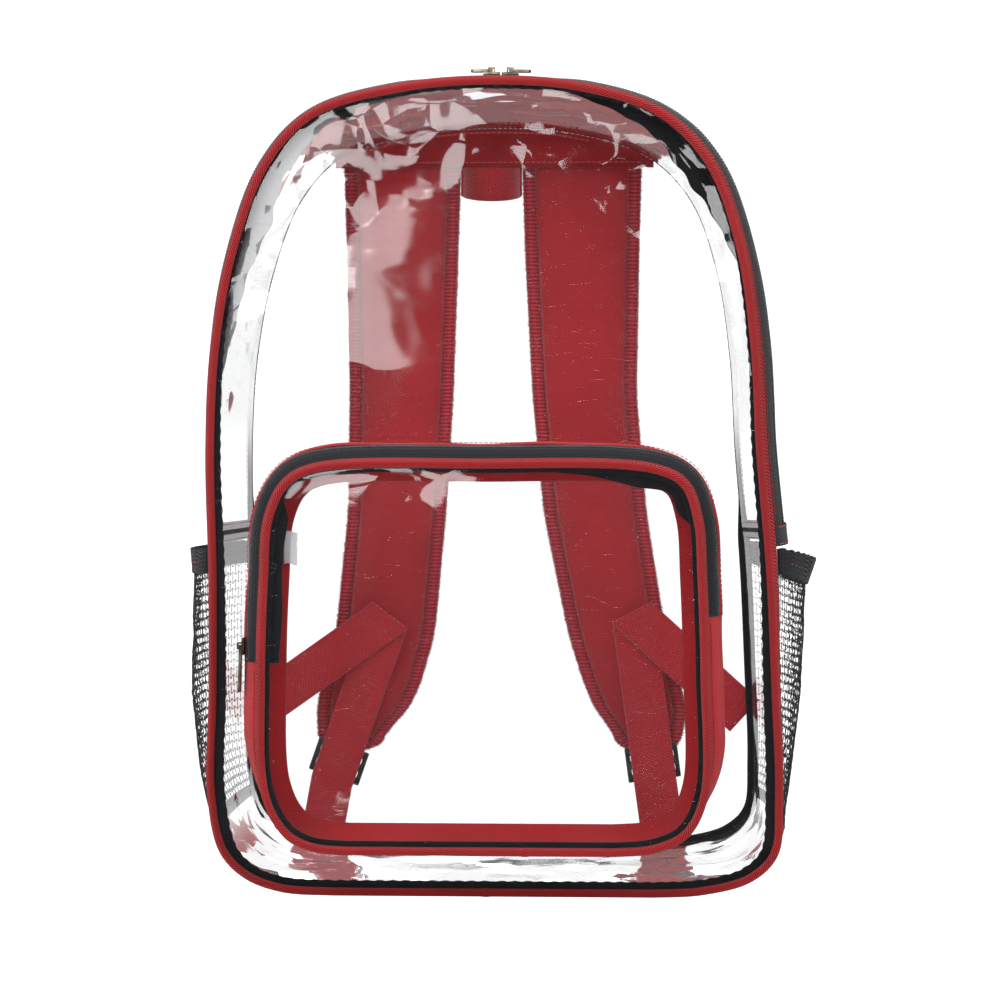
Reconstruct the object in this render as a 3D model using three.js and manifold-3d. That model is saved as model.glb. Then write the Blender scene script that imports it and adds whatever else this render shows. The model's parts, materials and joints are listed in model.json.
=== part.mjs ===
// A clear stadium backpack in red and black, standing on its base.
// Millimetres, +Z up, the front faces -Y, origin at the bottom centre.
import * as THREE from "three";
import { mergeVertices } from "three/addons/utils/BufferGeometryUtils.js";
import Module from "manifold-3d";

const wasm = await Module();
wasm.setup();

// Driving dimensions.
const BAG_WIDTH = 298; // between the centre lines of the front piping
const BAG_HEIGHT = 423;
const BAG_DEPTH = 132; // from the front seam to the back panel
const REAR_NARROWING = 0.015; // share by which the back seam is smaller than the front seam
const CLEARANCE = 0.3; // between pieces that touch
const VINYL = 1; // wall of the clear sheet
const CLOTH = 1; // wall of the woven pieces
const SWELL = 13; // furthest that the gusset stands outside its seams
const FRONT_PUFF = 5; // how far the clear front stands out above the pocket
const FOLD_DEPTH = 4;
const FOLD_SPREAD = 0.018; // of a crease to each side, as a share of the seam
const BACK_PUFF = 2; // how far the back panel stands inwards
const END_GAP = 0.001; // between two strips that meet, as a share of the seam
const PIPING_RADIUS = 2.2;
const BINDING_WIDTH = 6; // black binding that shows inside the piping
const REAR_BINDING_WIDTH = 5;
const REAR_FLANGE_WIDTH = 3.5; // of the rear binding, on the back panel
const TAPE_WIDTH = 13.5;
const COIL_WIDTH = 6;
const COIL_HEIGHT = 2.4;
const CROSS_BINDING_HEIGHT = 11;

const POCKET_WIDTH = 226;
const POCKET_HEIGHT = 198;
const POCKET_DEPTH = 28;
const POCKET_SIDE_SHIFT = -4;
const POCKET_BASE_HEIGHT = 27;
const POCKET_PUFF = 4;
const POCKET_SWELL = 13;
const POCKET_FOOT_SWELL = 4;
const POCKET_INSET = 9; // how far the pocket's base lies inside its front seam
const POCKET_PIPING_RADIUS = 2.1;
const POCKET_TAPE_WIDTH = 7;
const POCKET_COIL_WIDTH = 2.4;
const POCKET_ZIP_LEFT_HEIGHT = 96; // zip ends, above the pocket's own bottom
const POCKET_ZIP_RIGHT_HEIGHT = 120;

const MESH_BOTTOM_HEIGHT = 30;
const MESH_TOP_HEIGHT = 171;
const NET_TO_ZIP = 16;
const ZIP_END_HEIGHT = MESH_TOP_HEIGHT + NET_TO_ZIP; // where the main zip stops on both sides
const MESH_WALL = 1;
const MESH_BULGE = 17; // furthest that the net stands off the gusset
const MESH_ROWS = 7;
const MESH_COLUMNS = 5;
const MESH_GAP_SHARE = 0.8; // of a net cell's width that is open
const MESH_GAP_RISE = 0.08; // share of a cell's height below its gap
const MESH_GAP_SHOULDER = 0.27; // share of a cell's height below the gap's widest place
const ELASTIC_HEIGHT = 9;
const ELASTIC_WALL = 2.2;
const ELASTIC_FLARE = { left: 0.5, right: 3 }; // how far its top edge leans out

const YOKE_EDGE_HEIGHT = 0.929 * BAG_HEIGHT;
const YOKE_END_HEIGHT = 3; // of the yoke at its two ends
const STRAP_WIDTH = 60;
const STRAP_THICKNESS = 12;
const STRAP_BOW = 20; // furthest that a shoulder strap stands off the back
const STRAP_BINDING_WIDTH = 8;
const STRAP_BINDING_THICKNESS = 3.4;
const WEB_WIDTH = 25;
const WEB_THICKNESS = 1.4;
const LOCK_WIDTH = 31;
const LOCK_HEIGHT = 20;
const LOCK_THICKNESS = 4;
const LOCK_BAR = 4;
const HAUL_WIDTH = 22;
const HAUL_SPAN = 34;
const HAUL_BOW = 18;
const HAUL_HEIGHT = YOKE_EDGE_HEIGHT - 5;
const HAUL_SIDE_SHIFT = -4.9;

const SLIDER_LENGTH = 9;
const SLIDER_WIDTH = 8.4;
const SLIDER_WALL = 1.1;
const ARCH_WIDTH = 2.2;
const ARCH_WALL = 0.8;
const PULL_WIDTH = 5;
const PULL_WALL = 1.2;
const PULL_LENGTH = 11;
const POCKET_PULL_LENGTH = 24;
const POCKET_SLIDER_HEIGHT = POCKET_ZIP_LEFT_HEIGHT + 8; // above the pocket's own bottom
const LABEL_WIDTH = 7;
const LABEL_HEIGHT = 17;
const LABEL_WALL = 0.5;
const LABEL_UP = 0.78; // as a share of POCKET_HEIGHT
const LABEL_BEHIND = 12.5; // from the pocket's coil to the label

// The front seam's outline: height as a share of BAG_HEIGHT, sides as shares of half BAG_WIDTH.
const BAG_OUTLINE = [
  { up: 0, left: 0.568, right: 0.568 },
  { up: 0.004, left: 0.744, right: 0.747 },
  { up: 0.02, left: 0.867, right: 0.905 },
  { up: 0.05, left: 0.949, right: 0.989 },
  { up: 0.12, left: 0.991, right: 1.005 },
  { up: 0.25, left: 0.984, right: 0.991 },
  { up: 0.4, left: 0.982, right: 0.97 },
  { up: 0.55, left: 0.989, right: 0.933 },
  { up: 0.68, left: 0.967, right: 0.911 },
  { up: 0.8, left: 0.9, right: 0.858 },
  { up: 0.9, left: 0.788, right: 0.751 },
  { up: 0.96, left: 0.625, right: 0.579 },
  { up: 0.992, left: 0.302, right: 0.295 },
];

// How far the gusset stands out at each height: sides as shares of SWELL.
const BAG_SWELL = [
  { up: 0, left: 0, right: 0 },
  { up: 0.07, left: 0, right: 0.08 },
  { up: 0.15, left: 0.1, right: 0.23 },
  { up: 0.26, left: 0.2, right: 0.46 },
  { up: 0.355, left: 0.25, right: 0.77 },
  { up: 0.43, left: 0.3, right: 1 },
  { up: 0.6, left: 0.38, right: 0.92 },
  { up: 0.78, left: 0.42, right: 0.7 },
  { up: 0.93, left: 0.5, right: 0.68 },
  { up: 1, left: 0.48, right: 0.48 },
];

// The pocket's outline: shares of POCKET_HEIGHT and of half POCKET_WIDTH.
const POCKET_OUTLINE = [
  { up: 0, left: 0.62, right: 0.6 },
  { up: 0.012, left: 0.79, right: 0.79 },
  { up: 0.05, left: 0.9, right: 0.92 },
  { up: 0.15, left: 0.985, right: 1 },
  { up: 0.45, left: 1, right: 1 },
  { up: 0.7, left: 0.985, right: 0.985 },
  { up: 0.86, left: 0.962, right: 0.965 },
  { up: 0.95, left: 0.885, right: 0.905 },
  { up: 0.988, left: 0.76, right: 0.77 },
];

// Creases of the clear front near its rim: place round the outline, depth as a share of FOLD_DEPTH.
const FRONT_FOLDS = [
  { place: 0.1, depth: 0.7 },
  { place: 0.2, depth: 0.3 },
  { place: 0.36, depth: 0.4 },
  { place: 0.42, depth: 0.9 },
  { place: 0.48, depth: 0.6 },
  { place: 0.52, depth: 1 },
  { place: 0.58, depth: 0.8 },
  { place: 0.65, depth: 0.3 },
  { place: 0.8, depth: 0.3 },
  { place: 0.89, depth: 0.9 },
];

// Net pockets: height as a share of the net, bulge at each side as a share of MESH_BULGE.
const MESH_SHAPE = [
  { up: 0, left: 0.25, right: 0.25 },
  { up: 0.22, left: 0.65, right: 0.47 },
  { up: 0.5, left: 1, right: 0.76 },
  { up: 0.75, left: 0.94, right: 0.76 },
  { up: 1, left: 0.8, right: 0.72 },
];

// Shoulder straps: height (share of BAG_HEIGHT), centre (of half BAG_WIDTH), width (of STRAP_WIDTH),
// stand-off (of STRAP_BOW) and thickness (of STRAP_THICKNESS).
const STRAP_RIGHT = [
  { up: 0.955, centre: 0.318, width: 1.15, bow: 0, thick: 0.26 },
  { up: 0.915, centre: 0.318, width: 1.14, bow: 0.02, thick: 0.5 },
  { up: 0.8, centre: 0.32, width: 1.1, bow: 0.35, thick: 1 },
  { up: 0.62, centre: 0.33, width: 1.02, bow: 0.8, thick: 1 },
  { up: 0.454, centre: 0.373, width: 1.01, bow: 1, thick: 1 },
  { up: 0.284, centre: 0.461, width: 0.96, bow: 0.9, thick: 1 },
  { up: 0.206, centre: 0.53, width: 0.95, bow: 0.72, thick: 0.9 },
  { up: 0.165, centre: 0.57, width: 0.84, bow: 0.58, thick: 0.6 },
  { up: 0.145, centre: 0.585, width: 0.6, bow: 0.5, thick: 0.3 },
];
const STRAP_LEFT = [
  { up: 0.955, centre: 0.38, width: 1.13, bow: 0, thick: 0.26 },
  { up: 0.915, centre: 0.38, width: 1.12, bow: 0.02, thick: 0.5 },
  { up: 0.8, centre: 0.386, width: 1.08, bow: 0.35, thick: 1 },
  { up: 0.62, centre: 0.395, width: 1.02, bow: 0.8, thick: 1 },
  { up: 0.454, centre: 0.416, width: 0.97, bow: 1, thick: 1 },
  { up: 0.284, centre: 0.463, width: 0.98, bow: 0.9, thick: 1 },
  { up: 0.206, centre: 0.526, width: 0.98, bow: 0.72, thick: 0.9 },
  { up: 0.165, centre: 0.565, width: 0.84, bow: 0.58, thick: 0.6 },
  { up: 0.145, centre: 0.6, width: 0.6, bow: 0.5, thick: 0.3 },
];

// Lower webbing, from the back seam up to its crease and down through the lock: shares of half
// BAG_WIDTH, of BAG_HEIGHT and of STRAP_BOW.
const WEB_RIGHT = {
  seam: { side: 0.955, up: 0.178, bow: 0.035 },
  crease: { side: 0.52, up: 0.317, bow: 0.2 },
  lock: { side: 0.6, up: 0.1093, bow: 0.36 },
  bend: { side: 0.635, up: 0.02, bow: 0.4 },
  end: { side: 0.64, up: 0.008, bow: 1.05 },
};
const WEB_LEFT = {
  seam: { side: 0.95, up: 0.185, bow: 0.035 },
  crease: { side: 0.44, up: 0.312, bow: 0.2 },
  lock: { side: 0.64, up: 0.1093, bow: 0.36 },
  bend: { side: 0.7, up: 0.02, bow: 0.4 },
  end: { side: 0.715, up: 0.009, bow: 1.05 },
};

// Linear interpolation of one column of a table whose rows are ordered by another.
function tableValue(rows, key, at, column) {
  const next = rows.findIndex((row) => row[key] > at);
  if (next === 0) return rows[0][column];
  if (next < 0) return rows[rows.length - 1][column];
  const low = rows[next - 1];
  const high = rows[next];
  const share = (at - low[key]) / (high[key] - low[key]);
  return THREE.MathUtils.lerp(low[column], high[column], share);
}

// A closed geometry whose faces point out.
function solid(points, index) {
  const geometry = new THREE.BufferGeometry().setFromPoints(points);
  let volume = 0;
  for (let i = 0; i < index.length; i += 3) {
    const [a, b, c] = [points[index[i]], points[index[i + 1]], points[index[i + 2]]];
    volume += a.dot(new THREE.Vector3().crossVectors(b, c));
  }
  if (volume < 0) index.reverse();
  geometry.setIndex(index);
  geometry.computeVertexNormals();
  return geometry;
}

// The triangles that close a ring, found on the plane that the ring lies in.
function ringCap(ring) {
  const normal = new THREE.Vector3();
  ring.forEach((point, i) => {
    const next = ring[(i + 1) % ring.length];
    normal.add(new THREE.Vector3().crossVectors(point.clone().sub(ring[0]), next.clone().sub(ring[0])));
  });
  normal.normalize();
  const across = ring[1].clone().sub(ring[0]).projectOnPlane(normal).normalize();
  const up = new THREE.Vector3().crossVectors(normal, across);
  const flat = ring.map((point) => new THREE.Vector2(point.dot(across), point.dot(up)));
  return THREE.ShapeUtils.triangulateShape(flat, []).map((face) => {
    const turn = THREE.ShapeUtils.area(face.map((i) => flat[i]));
    return turn > 0 ? face : [face[0], face[2], face[1]];
  });
}

// A skin over rings of points, closed on itself or capped at both ends.
function skin(rings, closed) {
  const size = rings[0].length;
  const index = [];
  const spans = closed ? rings.length : rings.length - 1;
  for (let i = 0; i < spans; i++) {
    const a = i * size;
    const b = ((i + 1) % rings.length) * size;
    for (let j = 0; j < size; j++) {
      const k = (j + 1) % size;
      index.push(a + j, b + j, b + k, a + j, b + k, a + k);
    }
  }
  if (!closed) {
    const end = (rings.length - 1) * size;
    for (const [a, b, c] of ringCap(rings[0])) index.push(a, b, c);
    for (const [a, b, c] of ringCap(rings.at(-1))) index.push(end + a, end + c, end + b);
  }
  return solid(rings.flat(), index);
}

// A seam that runs round an outline, and the surfaces that start from it and run back.
class Seam {
  constructor({ rows, width, height, depth, narrowing, place, swell }) {
    const half = width / 2;
    const side = (sign, column) =>
      rows.map((row) => new THREE.Vector3(sign * row[column] * half, 0, row.up * height));
    const bottom = new THREE.Vector3();
    const top = new THREE.Vector3(0, 0, height);
    const points = [bottom, ...side(1, "right"), top, ...side(-1, "left").reverse()];
    this.curve = new THREE.CatmullRomCurve3(points, true);
    this.count = points.length * 2;
    Object.assign(this, { height, depth, narrowing, place, swell });
  }

  // The point at u, counted from the bottom middle up the right side, and its outward direction.
  frame(u) {
    const point = this.curve.getPoint(u % 1);
    const along = this.curve.getTangent(u % 1);
    const outward = new THREE.Vector3(along.z, 0, -along.x).normalize();
    if (point.z <= 0) {
      point.z = 0;
      outward.set(0, 0, -1);
    }
    return { point, outward };
  }

  // The place that lies out millimetres outside the seam and back millimetres behind it.
  at(u, out, back) {
    const { point, outward } = this.frame(u);
    const share = THREE.MathUtils.clamp(back / this.depth, 0, 1);
    const scale = 1 - this.narrowing * share;
    const stand = out + this.swell(point, share);
    return new THREE.Vector3(point.x * scale, back, point.z * scale)
      .addScaledVector(outward, stand)
      .add(this.place);
  }

  stations(from = 0, to = 1) {
    const step = 1 / this.count;
    const inner = [];
    for (let k = Math.ceil(from / step + 0.2); k * step < to - 0.2 * step; k++) inner.push(k * step);
    return [from, ...inner, to];
  }

  round() {
    return this.stations().slice(0, -1);
  }

  // Where the seam reaches a height on its right (side 1) or left (side -1).
  heightStation(height, side) {
    let low = 0;
    let high = 0.5;
    for (let i = 0; i < 30; i++) {
      const middle = (low + high) / 2;
      if (this.curve.getPoint(side > 0 ? middle : 1 - middle).z < height) low = middle;
      else high = middle;
    }
    return side > 0 ? low : 1 - low;
  }

  // Where the seam crosses a place along X at its top.
  topStation(x) {
    let low = 0.4;
    let high = 0.6;
    for (let i = 0; i < 30; i++) {
      const middle = (low + high) / 2;
      if (this.curve.getPoint(middle).x > x) low = middle;
      else high = middle;
    }
    return low;
  }

  sweep(stations, section, closed = false) {
    const rings = stations.map((u) => section.map(([out, back]) => this.at(u, out, back)));
    return skin(rings, closed);
  }
}

const bagSeam = new Seam({
  rows: BAG_OUTLINE,
  width: BAG_WIDTH,
  height: BAG_HEIGHT,
  depth: BAG_DEPTH,
  narrowing: REAR_NARROWING,
  place: new THREE.Vector3(),
  swell: (point, share) => {
    const column = point.x < 0 ? "left" : "right";
    const most = SWELL * tableValue(BAG_SWELL, "up", point.z / BAG_HEIGHT, column);
    return most * Math.sin(Math.PI * share ** 0.6);
  },
});

const pocketSeam = new Seam({
  rows: POCKET_OUTLINE,
  width: POCKET_WIDTH,
  height: POCKET_HEIGHT,
  depth: POCKET_DEPTH,
  narrowing: 0,
  place: new THREE.Vector3(
    POCKET_SIDE_SHIFT,
    -POCKET_DEPTH - VINYL / 2 - CLEARANCE,
    POCKET_BASE_HEIGHT,
  ),
  swell: (point, share) => {
    const { lerp, smoothstep } = THREE.MathUtils;
    const up = point.z / POCKET_HEIGHT;
    const most = lerp(POCKET_FOOT_SWELL, POCKET_SWELL, smoothstep(up, 0.02, 0.3));
    return most * Math.sin(Math.PI * share) - POCKET_INSET * share;
  },
});

// Places between two depths at which a strip bends, ends included.
function evenly(from, to, parts) {
  return [...Array(parts + 1).keys()].map((i) => from + ((to - from) * i) / parts);
}

// The section of a flat strip through several depths, with its outer face at out.
function strip(out, wall, backs) {
  const outer = backs.map((back) => [out, back]);
  const inner = backs.map((back) => [out - wall, back]).reverse();
  return [...outer, ...inner];
}

function roundSection(radius, sides) {
  return [...Array(sides).keys()].map((i) => {
    const angle = (2 * Math.PI * (i + 0.5)) / sides;
    return [(radius * Math.cos(angle)) / Math.cos(Math.PI / sides), radius * Math.sin(angle)];
  });
}

// A closed sheet inside a rim, in rings towards its centre, lifted off the rim's plane by lift.
function panel(seam, rimOut, back, wall, shares, lift) {
  const stations = seam.round();
  const rim = stations.map((u) => seam.at(u, rimOut, back));
  const centre = new THREE.Vector3(0, back, seam.height / 2).add(seam.place);
  const points = [];
  const place = (x, z, share, u, face) => {
    const y = centre.y + lift(x, z, share, u) + face * wall;
    points.push(new THREE.Vector3(x, y, z));
  };
  for (const face of [-0.5, 0.5]) {
    for (const share of shares)
      rim.forEach((p, i) => {
        const x = THREE.MathUtils.lerp(centre.x, p.x, share);
        const z = THREE.MathUtils.lerp(centre.z, p.z, share);
        place(x, z, share, stations[i], face);
      });
    place(centre.x, centre.z, 0, 0, face);
  }
  const size = rim.length;
  const side = size * shares.length + 1;
  const index = [];
  for (let j = 0; j < size; j++) {
    const k = (j + 1) % size;
    for (let ring = 0; ring < shares.length - 1; ring++) {
      const [a, b] = [ring * size, (ring + 1) * size];
      index.push(a + j, b + j, b + k, a + j, b + k, a + k);
      const [c, d] = [a + side, b + side];
      index.push(c + j, d + k, d + j, c + j, c + k, d + k);
    }
    const last = (shares.length - 1) * size;
    index.push(last + j, side - 1, last + k);
    index.push(side + last + j, side + last + k, side + side - 1);
    index.push(j, k, side + k, j, side + k, side + j);
  }
  return solid(points, index);
}

function fuse(...geometries) {
  const solids = geometries.map((geometry) => {
    const bare = geometry.clone();
    bare.deleteAttribute("normal");
    bare.deleteAttribute("uv");
    const merged = mergeVertices(bare, 1e-4);
    const vertProperties = merged.attributes.position.array;
    const triVerts = new Uint32Array(merged.index.array);
    return new wasm.Manifold(new wasm.Mesh({ numProp: 3, vertProperties, triVerts }));
  });
  const mesh = solids.reduce((a, b) => a.add(b)).getMesh();
  const geometry = new THREE.BufferGeometry();
  geometry.setAttribute("position", new THREE.BufferAttribute(mesh.vertProperties, 3));
  geometry.setIndex(new THREE.BufferAttribute(mesh.triVerts, 1));
  geometry.computeVertexNormals();
  return geometry;
}

// Materials.
function finish(color, roughness, metalness = 0, opacity = 1) {
  const transparent = opacity < 1;
  return () =>
    new THREE.MeshStandardMaterial({ color, roughness, metalness, opacity, transparent });
}
const vinyl = finish(0xf4f7fa, 0.08, 0, 0.22);
const redCloth = finish(0xa81c28, 0.75);
const blackCloth = finish(0x17181c, 0.7);
const blackPlastic = finish(0x101114, 0.35);
const darkMetal = finish(0x5c544a, 0.35, 1);
const labelCloth = finish(0xe9ebee, 0.6);

const bag = new THREE.Group();
function addPiece(name, geometry, material, matrix) {
  const mesh = new THREE.Mesh(geometry, material());
  mesh.name = name;
  if (matrix) mesh.applyMatrix4(matrix);
  bag.add(mesh);
  return mesh;
}

// Main compartment.
const zipRight = bagSeam.heightStation(ZIP_END_HEIGHT, 1);
const zipLeft = bagSeam.heightStation(ZIP_END_HEIGHT, -1);
const rimOut = -PIPING_RADIUS - CLEARANCE;
const gussetFront = PIPING_RADIUS + CLEARANCE;
const gussetBack = BAG_DEPTH - PIPING_RADIUS - CLEARANCE;
const rearLegBack = BAG_DEPTH - REAR_BINDING_WIDTH;
const coilFront = gussetFront + TAPE_WIDTH + CLEARANCE;
const coilBack = coilFront + COIL_WIDTH;
const rearTapeFront = coilBack + CLEARANCE;
const rearTapeBack = rearTapeFront + TAPE_WIDTH;
const backPanelRear = BAG_DEPTH + VINYL / 2;

// Every strip of the gusset bends at the same depths, so that they lie flat on each other.
function gussetBacks(from, to) {
  const middle = (rearTapeBack + rearLegBack) / 2;
  const bends = [gussetFront + TAPE_WIDTH, rearTapeFront, rearTapeBack, middle, rearLegBack];
  return [from, ...bends.filter((back) => back > from + CLEARANCE && back < to), to];
}

function foldAt(u) {
  return FRONT_FOLDS.reduce((sum, fold) => {
    const away = Math.abs(((u - fold.place + 0.5) % 1) - 0.5) / FOLD_SPREAD;
    return sum + fold.depth * FOLD_DEPTH * Math.max(0, 1 - away);
  }, 0);
}

function frontLift(x, z, share, u) {
  const above = z - POCKET_BASE_HEIGHT - POCKET_HEIGHT;
  const puff = FRONT_PUFF * THREE.MathUtils.smoothstep(above, 0, BAG_HEIGHT / 5);
  const fold = share < 1 && share > 0.9 ? foldAt(u) : 0;
  return -puff * (1 - share ** 4) - fold;
}

function addMainCompartment() {
  const front = panel(bagSeam, rimOut, 0, VINYL, [1, 0.935, 0.86, 0.6, 0.3], frontLift);
  addPiece("front_panel", front, vinyl);
  const backLift = (x, z, share) => -BACK_PUFF * (1 - share ** 3);
  const back = panel(bagSeam, rimOut, BAG_DEPTH, VINYL, [1, 0.75, 0.4], backLift);
  addPiece("back_panel", back, vinyl);

  const piping = roundSection(PIPING_RADIUS, 6);
  addPiece("front_piping", bagSeam.sweep(bagSeam.round(), piping, true), redCloth);
  const bindingBack = VINYL / 2 + CLEARANCE;
  const binding = [
    [rimOut, bindingBack],
    [rimOut, bindingBack + CLOTH],
    [rimOut - BINDING_WIDTH, bindingBack + CLOTH],
    [rimOut - BINDING_WIDTH, bindingBack],
  ];
  addPiece("front_binding", bagSeam.sweep(bagSeam.round(), binding, true), blackCloth);

  const lower = bagSeam.stations(zipLeft + END_GAP, 1 + zipRight - END_GAP);
  const lowerSection = strip(0, VINYL, gussetBacks(gussetFront, gussetBack));
  addPiece("lower_gusset", bagSeam.sweep(lower, lowerSection), vinyl);
  const zip = bagSeam.stations(zipRight + END_GAP, zipLeft - END_GAP);
  const upperSection = strip(0, VINYL, gussetBacks(rearTapeBack + CLEARANCE, gussetBack));
  addPiece("upper_gusset", bagSeam.sweep(zip, upperSection), vinyl);
  const frontTape = strip(0, CLOTH, [gussetFront, gussetFront + TAPE_WIDTH]);
  addPiece("zip_tape_front", bagSeam.sweep(zip, frontTape), blackCloth);
  const rearTape = strip(0, CLOTH, [rearTapeFront, rearTapeBack]);
  addPiece("zip_tape_rear", bagSeam.sweep(zip, rearTape), blackCloth);

  const coilEnd = ZIP_END_HEIGHT + CROSS_BINDING_HEIGHT / 2 + CLEARANCE;
  const coilRun = bagSeam.stations(
    bagSeam.heightStation(coilEnd, 1),
    bagSeam.heightStation(coilEnd, -1),
  );
  const coil = strip(COIL_HEIGHT / 2, COIL_HEIGHT, [coilFront, coilBack]);
  addPiece("zip_coil", bagSeam.sweep(coilRun, coil), blackPlastic);

  const rear = backPanelRear + CLEARANCE;
  const rearBinding = [
    [PIPING_RADIUS, rearLegBack],
    [PIPING_RADIUS, rear + CLOTH],
    [rimOut - REAR_FLANGE_WIDTH, rear + CLOTH],
    [rimOut - REAR_FLANGE_WIDTH, rear],
    [CLEARANCE, rear],
    [CLEARANCE, rearLegBack],
  ];
  addPiece("rear_binding", bagSeam.sweep(bagSeam.round(), rearBinding, true), blackCloth);

  for (const [name, side] of [
    ["cross_binding_left", -1],
    ["cross_binding_right", 1],
  ]) {
    const middle = bagSeam.heightStation(ZIP_END_HEIGHT, side);
    const low = bagSeam.heightStation(ZIP_END_HEIGHT - CROSS_BINDING_HEIGHT / 2, side);
    const high = bagSeam.heightStation(ZIP_END_HEIGHT + CROSS_BINDING_HEIGHT / 2, side);
    const rise = bagSeam.at(high, 0, coilFront).sub(bagSeam.at(low, 0, coilFront));
    const band = strip(CLEARANCE + CLOTH, CLOTH, gussetBacks(gussetFront, rearLegBack - CLEARANCE));
    const rings = [-0.5, 0.5].map((share) =>
      band.map(([out, back]) => bagSeam.at(middle, out, back).addScaledVector(rise, share)),
    );
    addPiece(name, skin(rings, false), blackCloth);
  }
}

// Side pockets of coarse net, sewn into the seams and across their foot.
function netPoint(side, rowShare, columnShare, out) {
  const height = THREE.MathUtils.lerp(MESH_BOTTOM_HEIGHT, MESH_TOP_HEIGHT, rowShare);
  const column = side > 0 ? "right" : "left";
  const bulge = MESH_BULGE * tableValue(MESH_SHAPE, "up", rowShare, column);
  const front = gussetFront + 2 * CLEARANCE;
  const share = THREE.MathUtils.clamp(columnShare, 0, 1);
  const deep = share / 2 + (1 - Math.cos(Math.PI * share)) / 4;
  const back = THREE.MathUtils.lerp(front, rearLegBack - CLEARANCE, deep);
  const stand = bulge * Math.sin(Math.PI * deep) ** 0.5;
  return bagSeam.at(bagSeam.heightStation(height, side), CLEARANCE + stand + out, back);
}

// Rows of six-sided gaps, every second row half a cell along.
function netGeometry(side) {
  const points = [];
  const index = [];
  const add = (row, column) => {
    const share = [row / MESH_ROWS, column / MESH_COLUMNS];
    points.push(netPoint(side, ...share, MESH_WALL), netPoint(side, ...share, 0));
    return points.length - 2;
  };
  const wall = (a, b) => index.push(a, b, b + 1, a, b + 1, a + 1);
  const face = (a, b, c, d) => {
    index.push(a, b, c, a, c, d);
    index.push(a + 1, c + 1, b + 1, a + 1, d + 1, c + 1);
  };
  const halves = 2 * MESH_COLUMNS;
  const line = [...Array(MESH_ROWS + 1).keys()].map((row) =>
    [...Array(halves + 1).keys()].map((half) => add(row, half / 2)),
  );
  const reach = MESH_GAP_SHARE / 2;
  const gapOutline = [
    [MESH_GAP_SHOULDER, -reach],
    [MESH_GAP_RISE, 0],
    [MESH_GAP_SHOULDER, reach],
    [1 - MESH_GAP_SHOULDER, reach],
    [1 - MESH_GAP_RISE, 0],
    [1 - MESH_GAP_SHOULDER, -reach],
  ];
  for (let row = 0; row < MESH_ROWS; row++) {
    const [below, above] = [line[row], line[row + 1]];
    const first = 1 + (row % 2);
    for (let middle = first; middle < halves; middle += 2) {
      const ring = [
        ...[-1, 0, 1].map((step) => below[middle + step]),
        ...[1, 0, -1].map((step) => above[middle + step]),
      ];
      const gap = gapOutline.map(([up, along]) => add(row + up, middle / 2 + along));
      for (let i = 0; i < ring.length; i++) {
        const next = (i + 1) % ring.length;
        face(ring[i], ring[next], gap[next], gap[i]);
        wall(gap[i], gap[next]);
      }
    }
    if (first === 2)
      for (const half of [0, halves - 1])
        face(below[half], below[half + 1], above[half + 1], above[half]);
    wall(below[0], above[0]);
    wall(above[halves], below[halves]);
  }
  for (let half = 0; half < halves; half++) {
    wall(line[0][half + 1], line[0][half]);
    wall(line[MESH_ROWS][half], line[MESH_ROWS][half + 1]);
  }
  return solid(points, index);
}

function elasticGeometry(side) {
  const netHeight = MESH_TOP_HEIGHT - MESH_BOTTOM_HEIGHT;
  const low = 1 + CLEARANCE / netHeight;
  const high = low + ELASTIC_HEIGHT / netHeight;
  const flare = side > 0 ? ELASTIC_FLARE.right : ELASTIC_FLARE.left;
  const corners = [
    { up: low, wall: 0, lean: 0 },
    { up: low, wall: ELASTIC_WALL, lean: 0 },
    { up: high, wall: ELASTIC_WALL, lean: flare },
    { up: high, wall: 0, lean: flare },
  ];
  const rings = evenly(0, 1, 2 * MESH_COLUMNS).map((share) =>
    corners.map(({ up, wall, lean }) =>
      netPoint(side, up, share, wall + lean * Math.sin(Math.PI * share)),
    ),
  );
  return skin(rings, false);
}

function addSidePockets() {
  for (const [suffix, side] of [
    ["left", -1],
    ["right", 1],
  ]) {
    addPiece("mesh_pocket_" + suffix, netGeometry(side), blackCloth);
    addPiece("mesh_elastic_" + suffix, elasticGeometry(side), blackCloth);
  }
}

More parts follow.
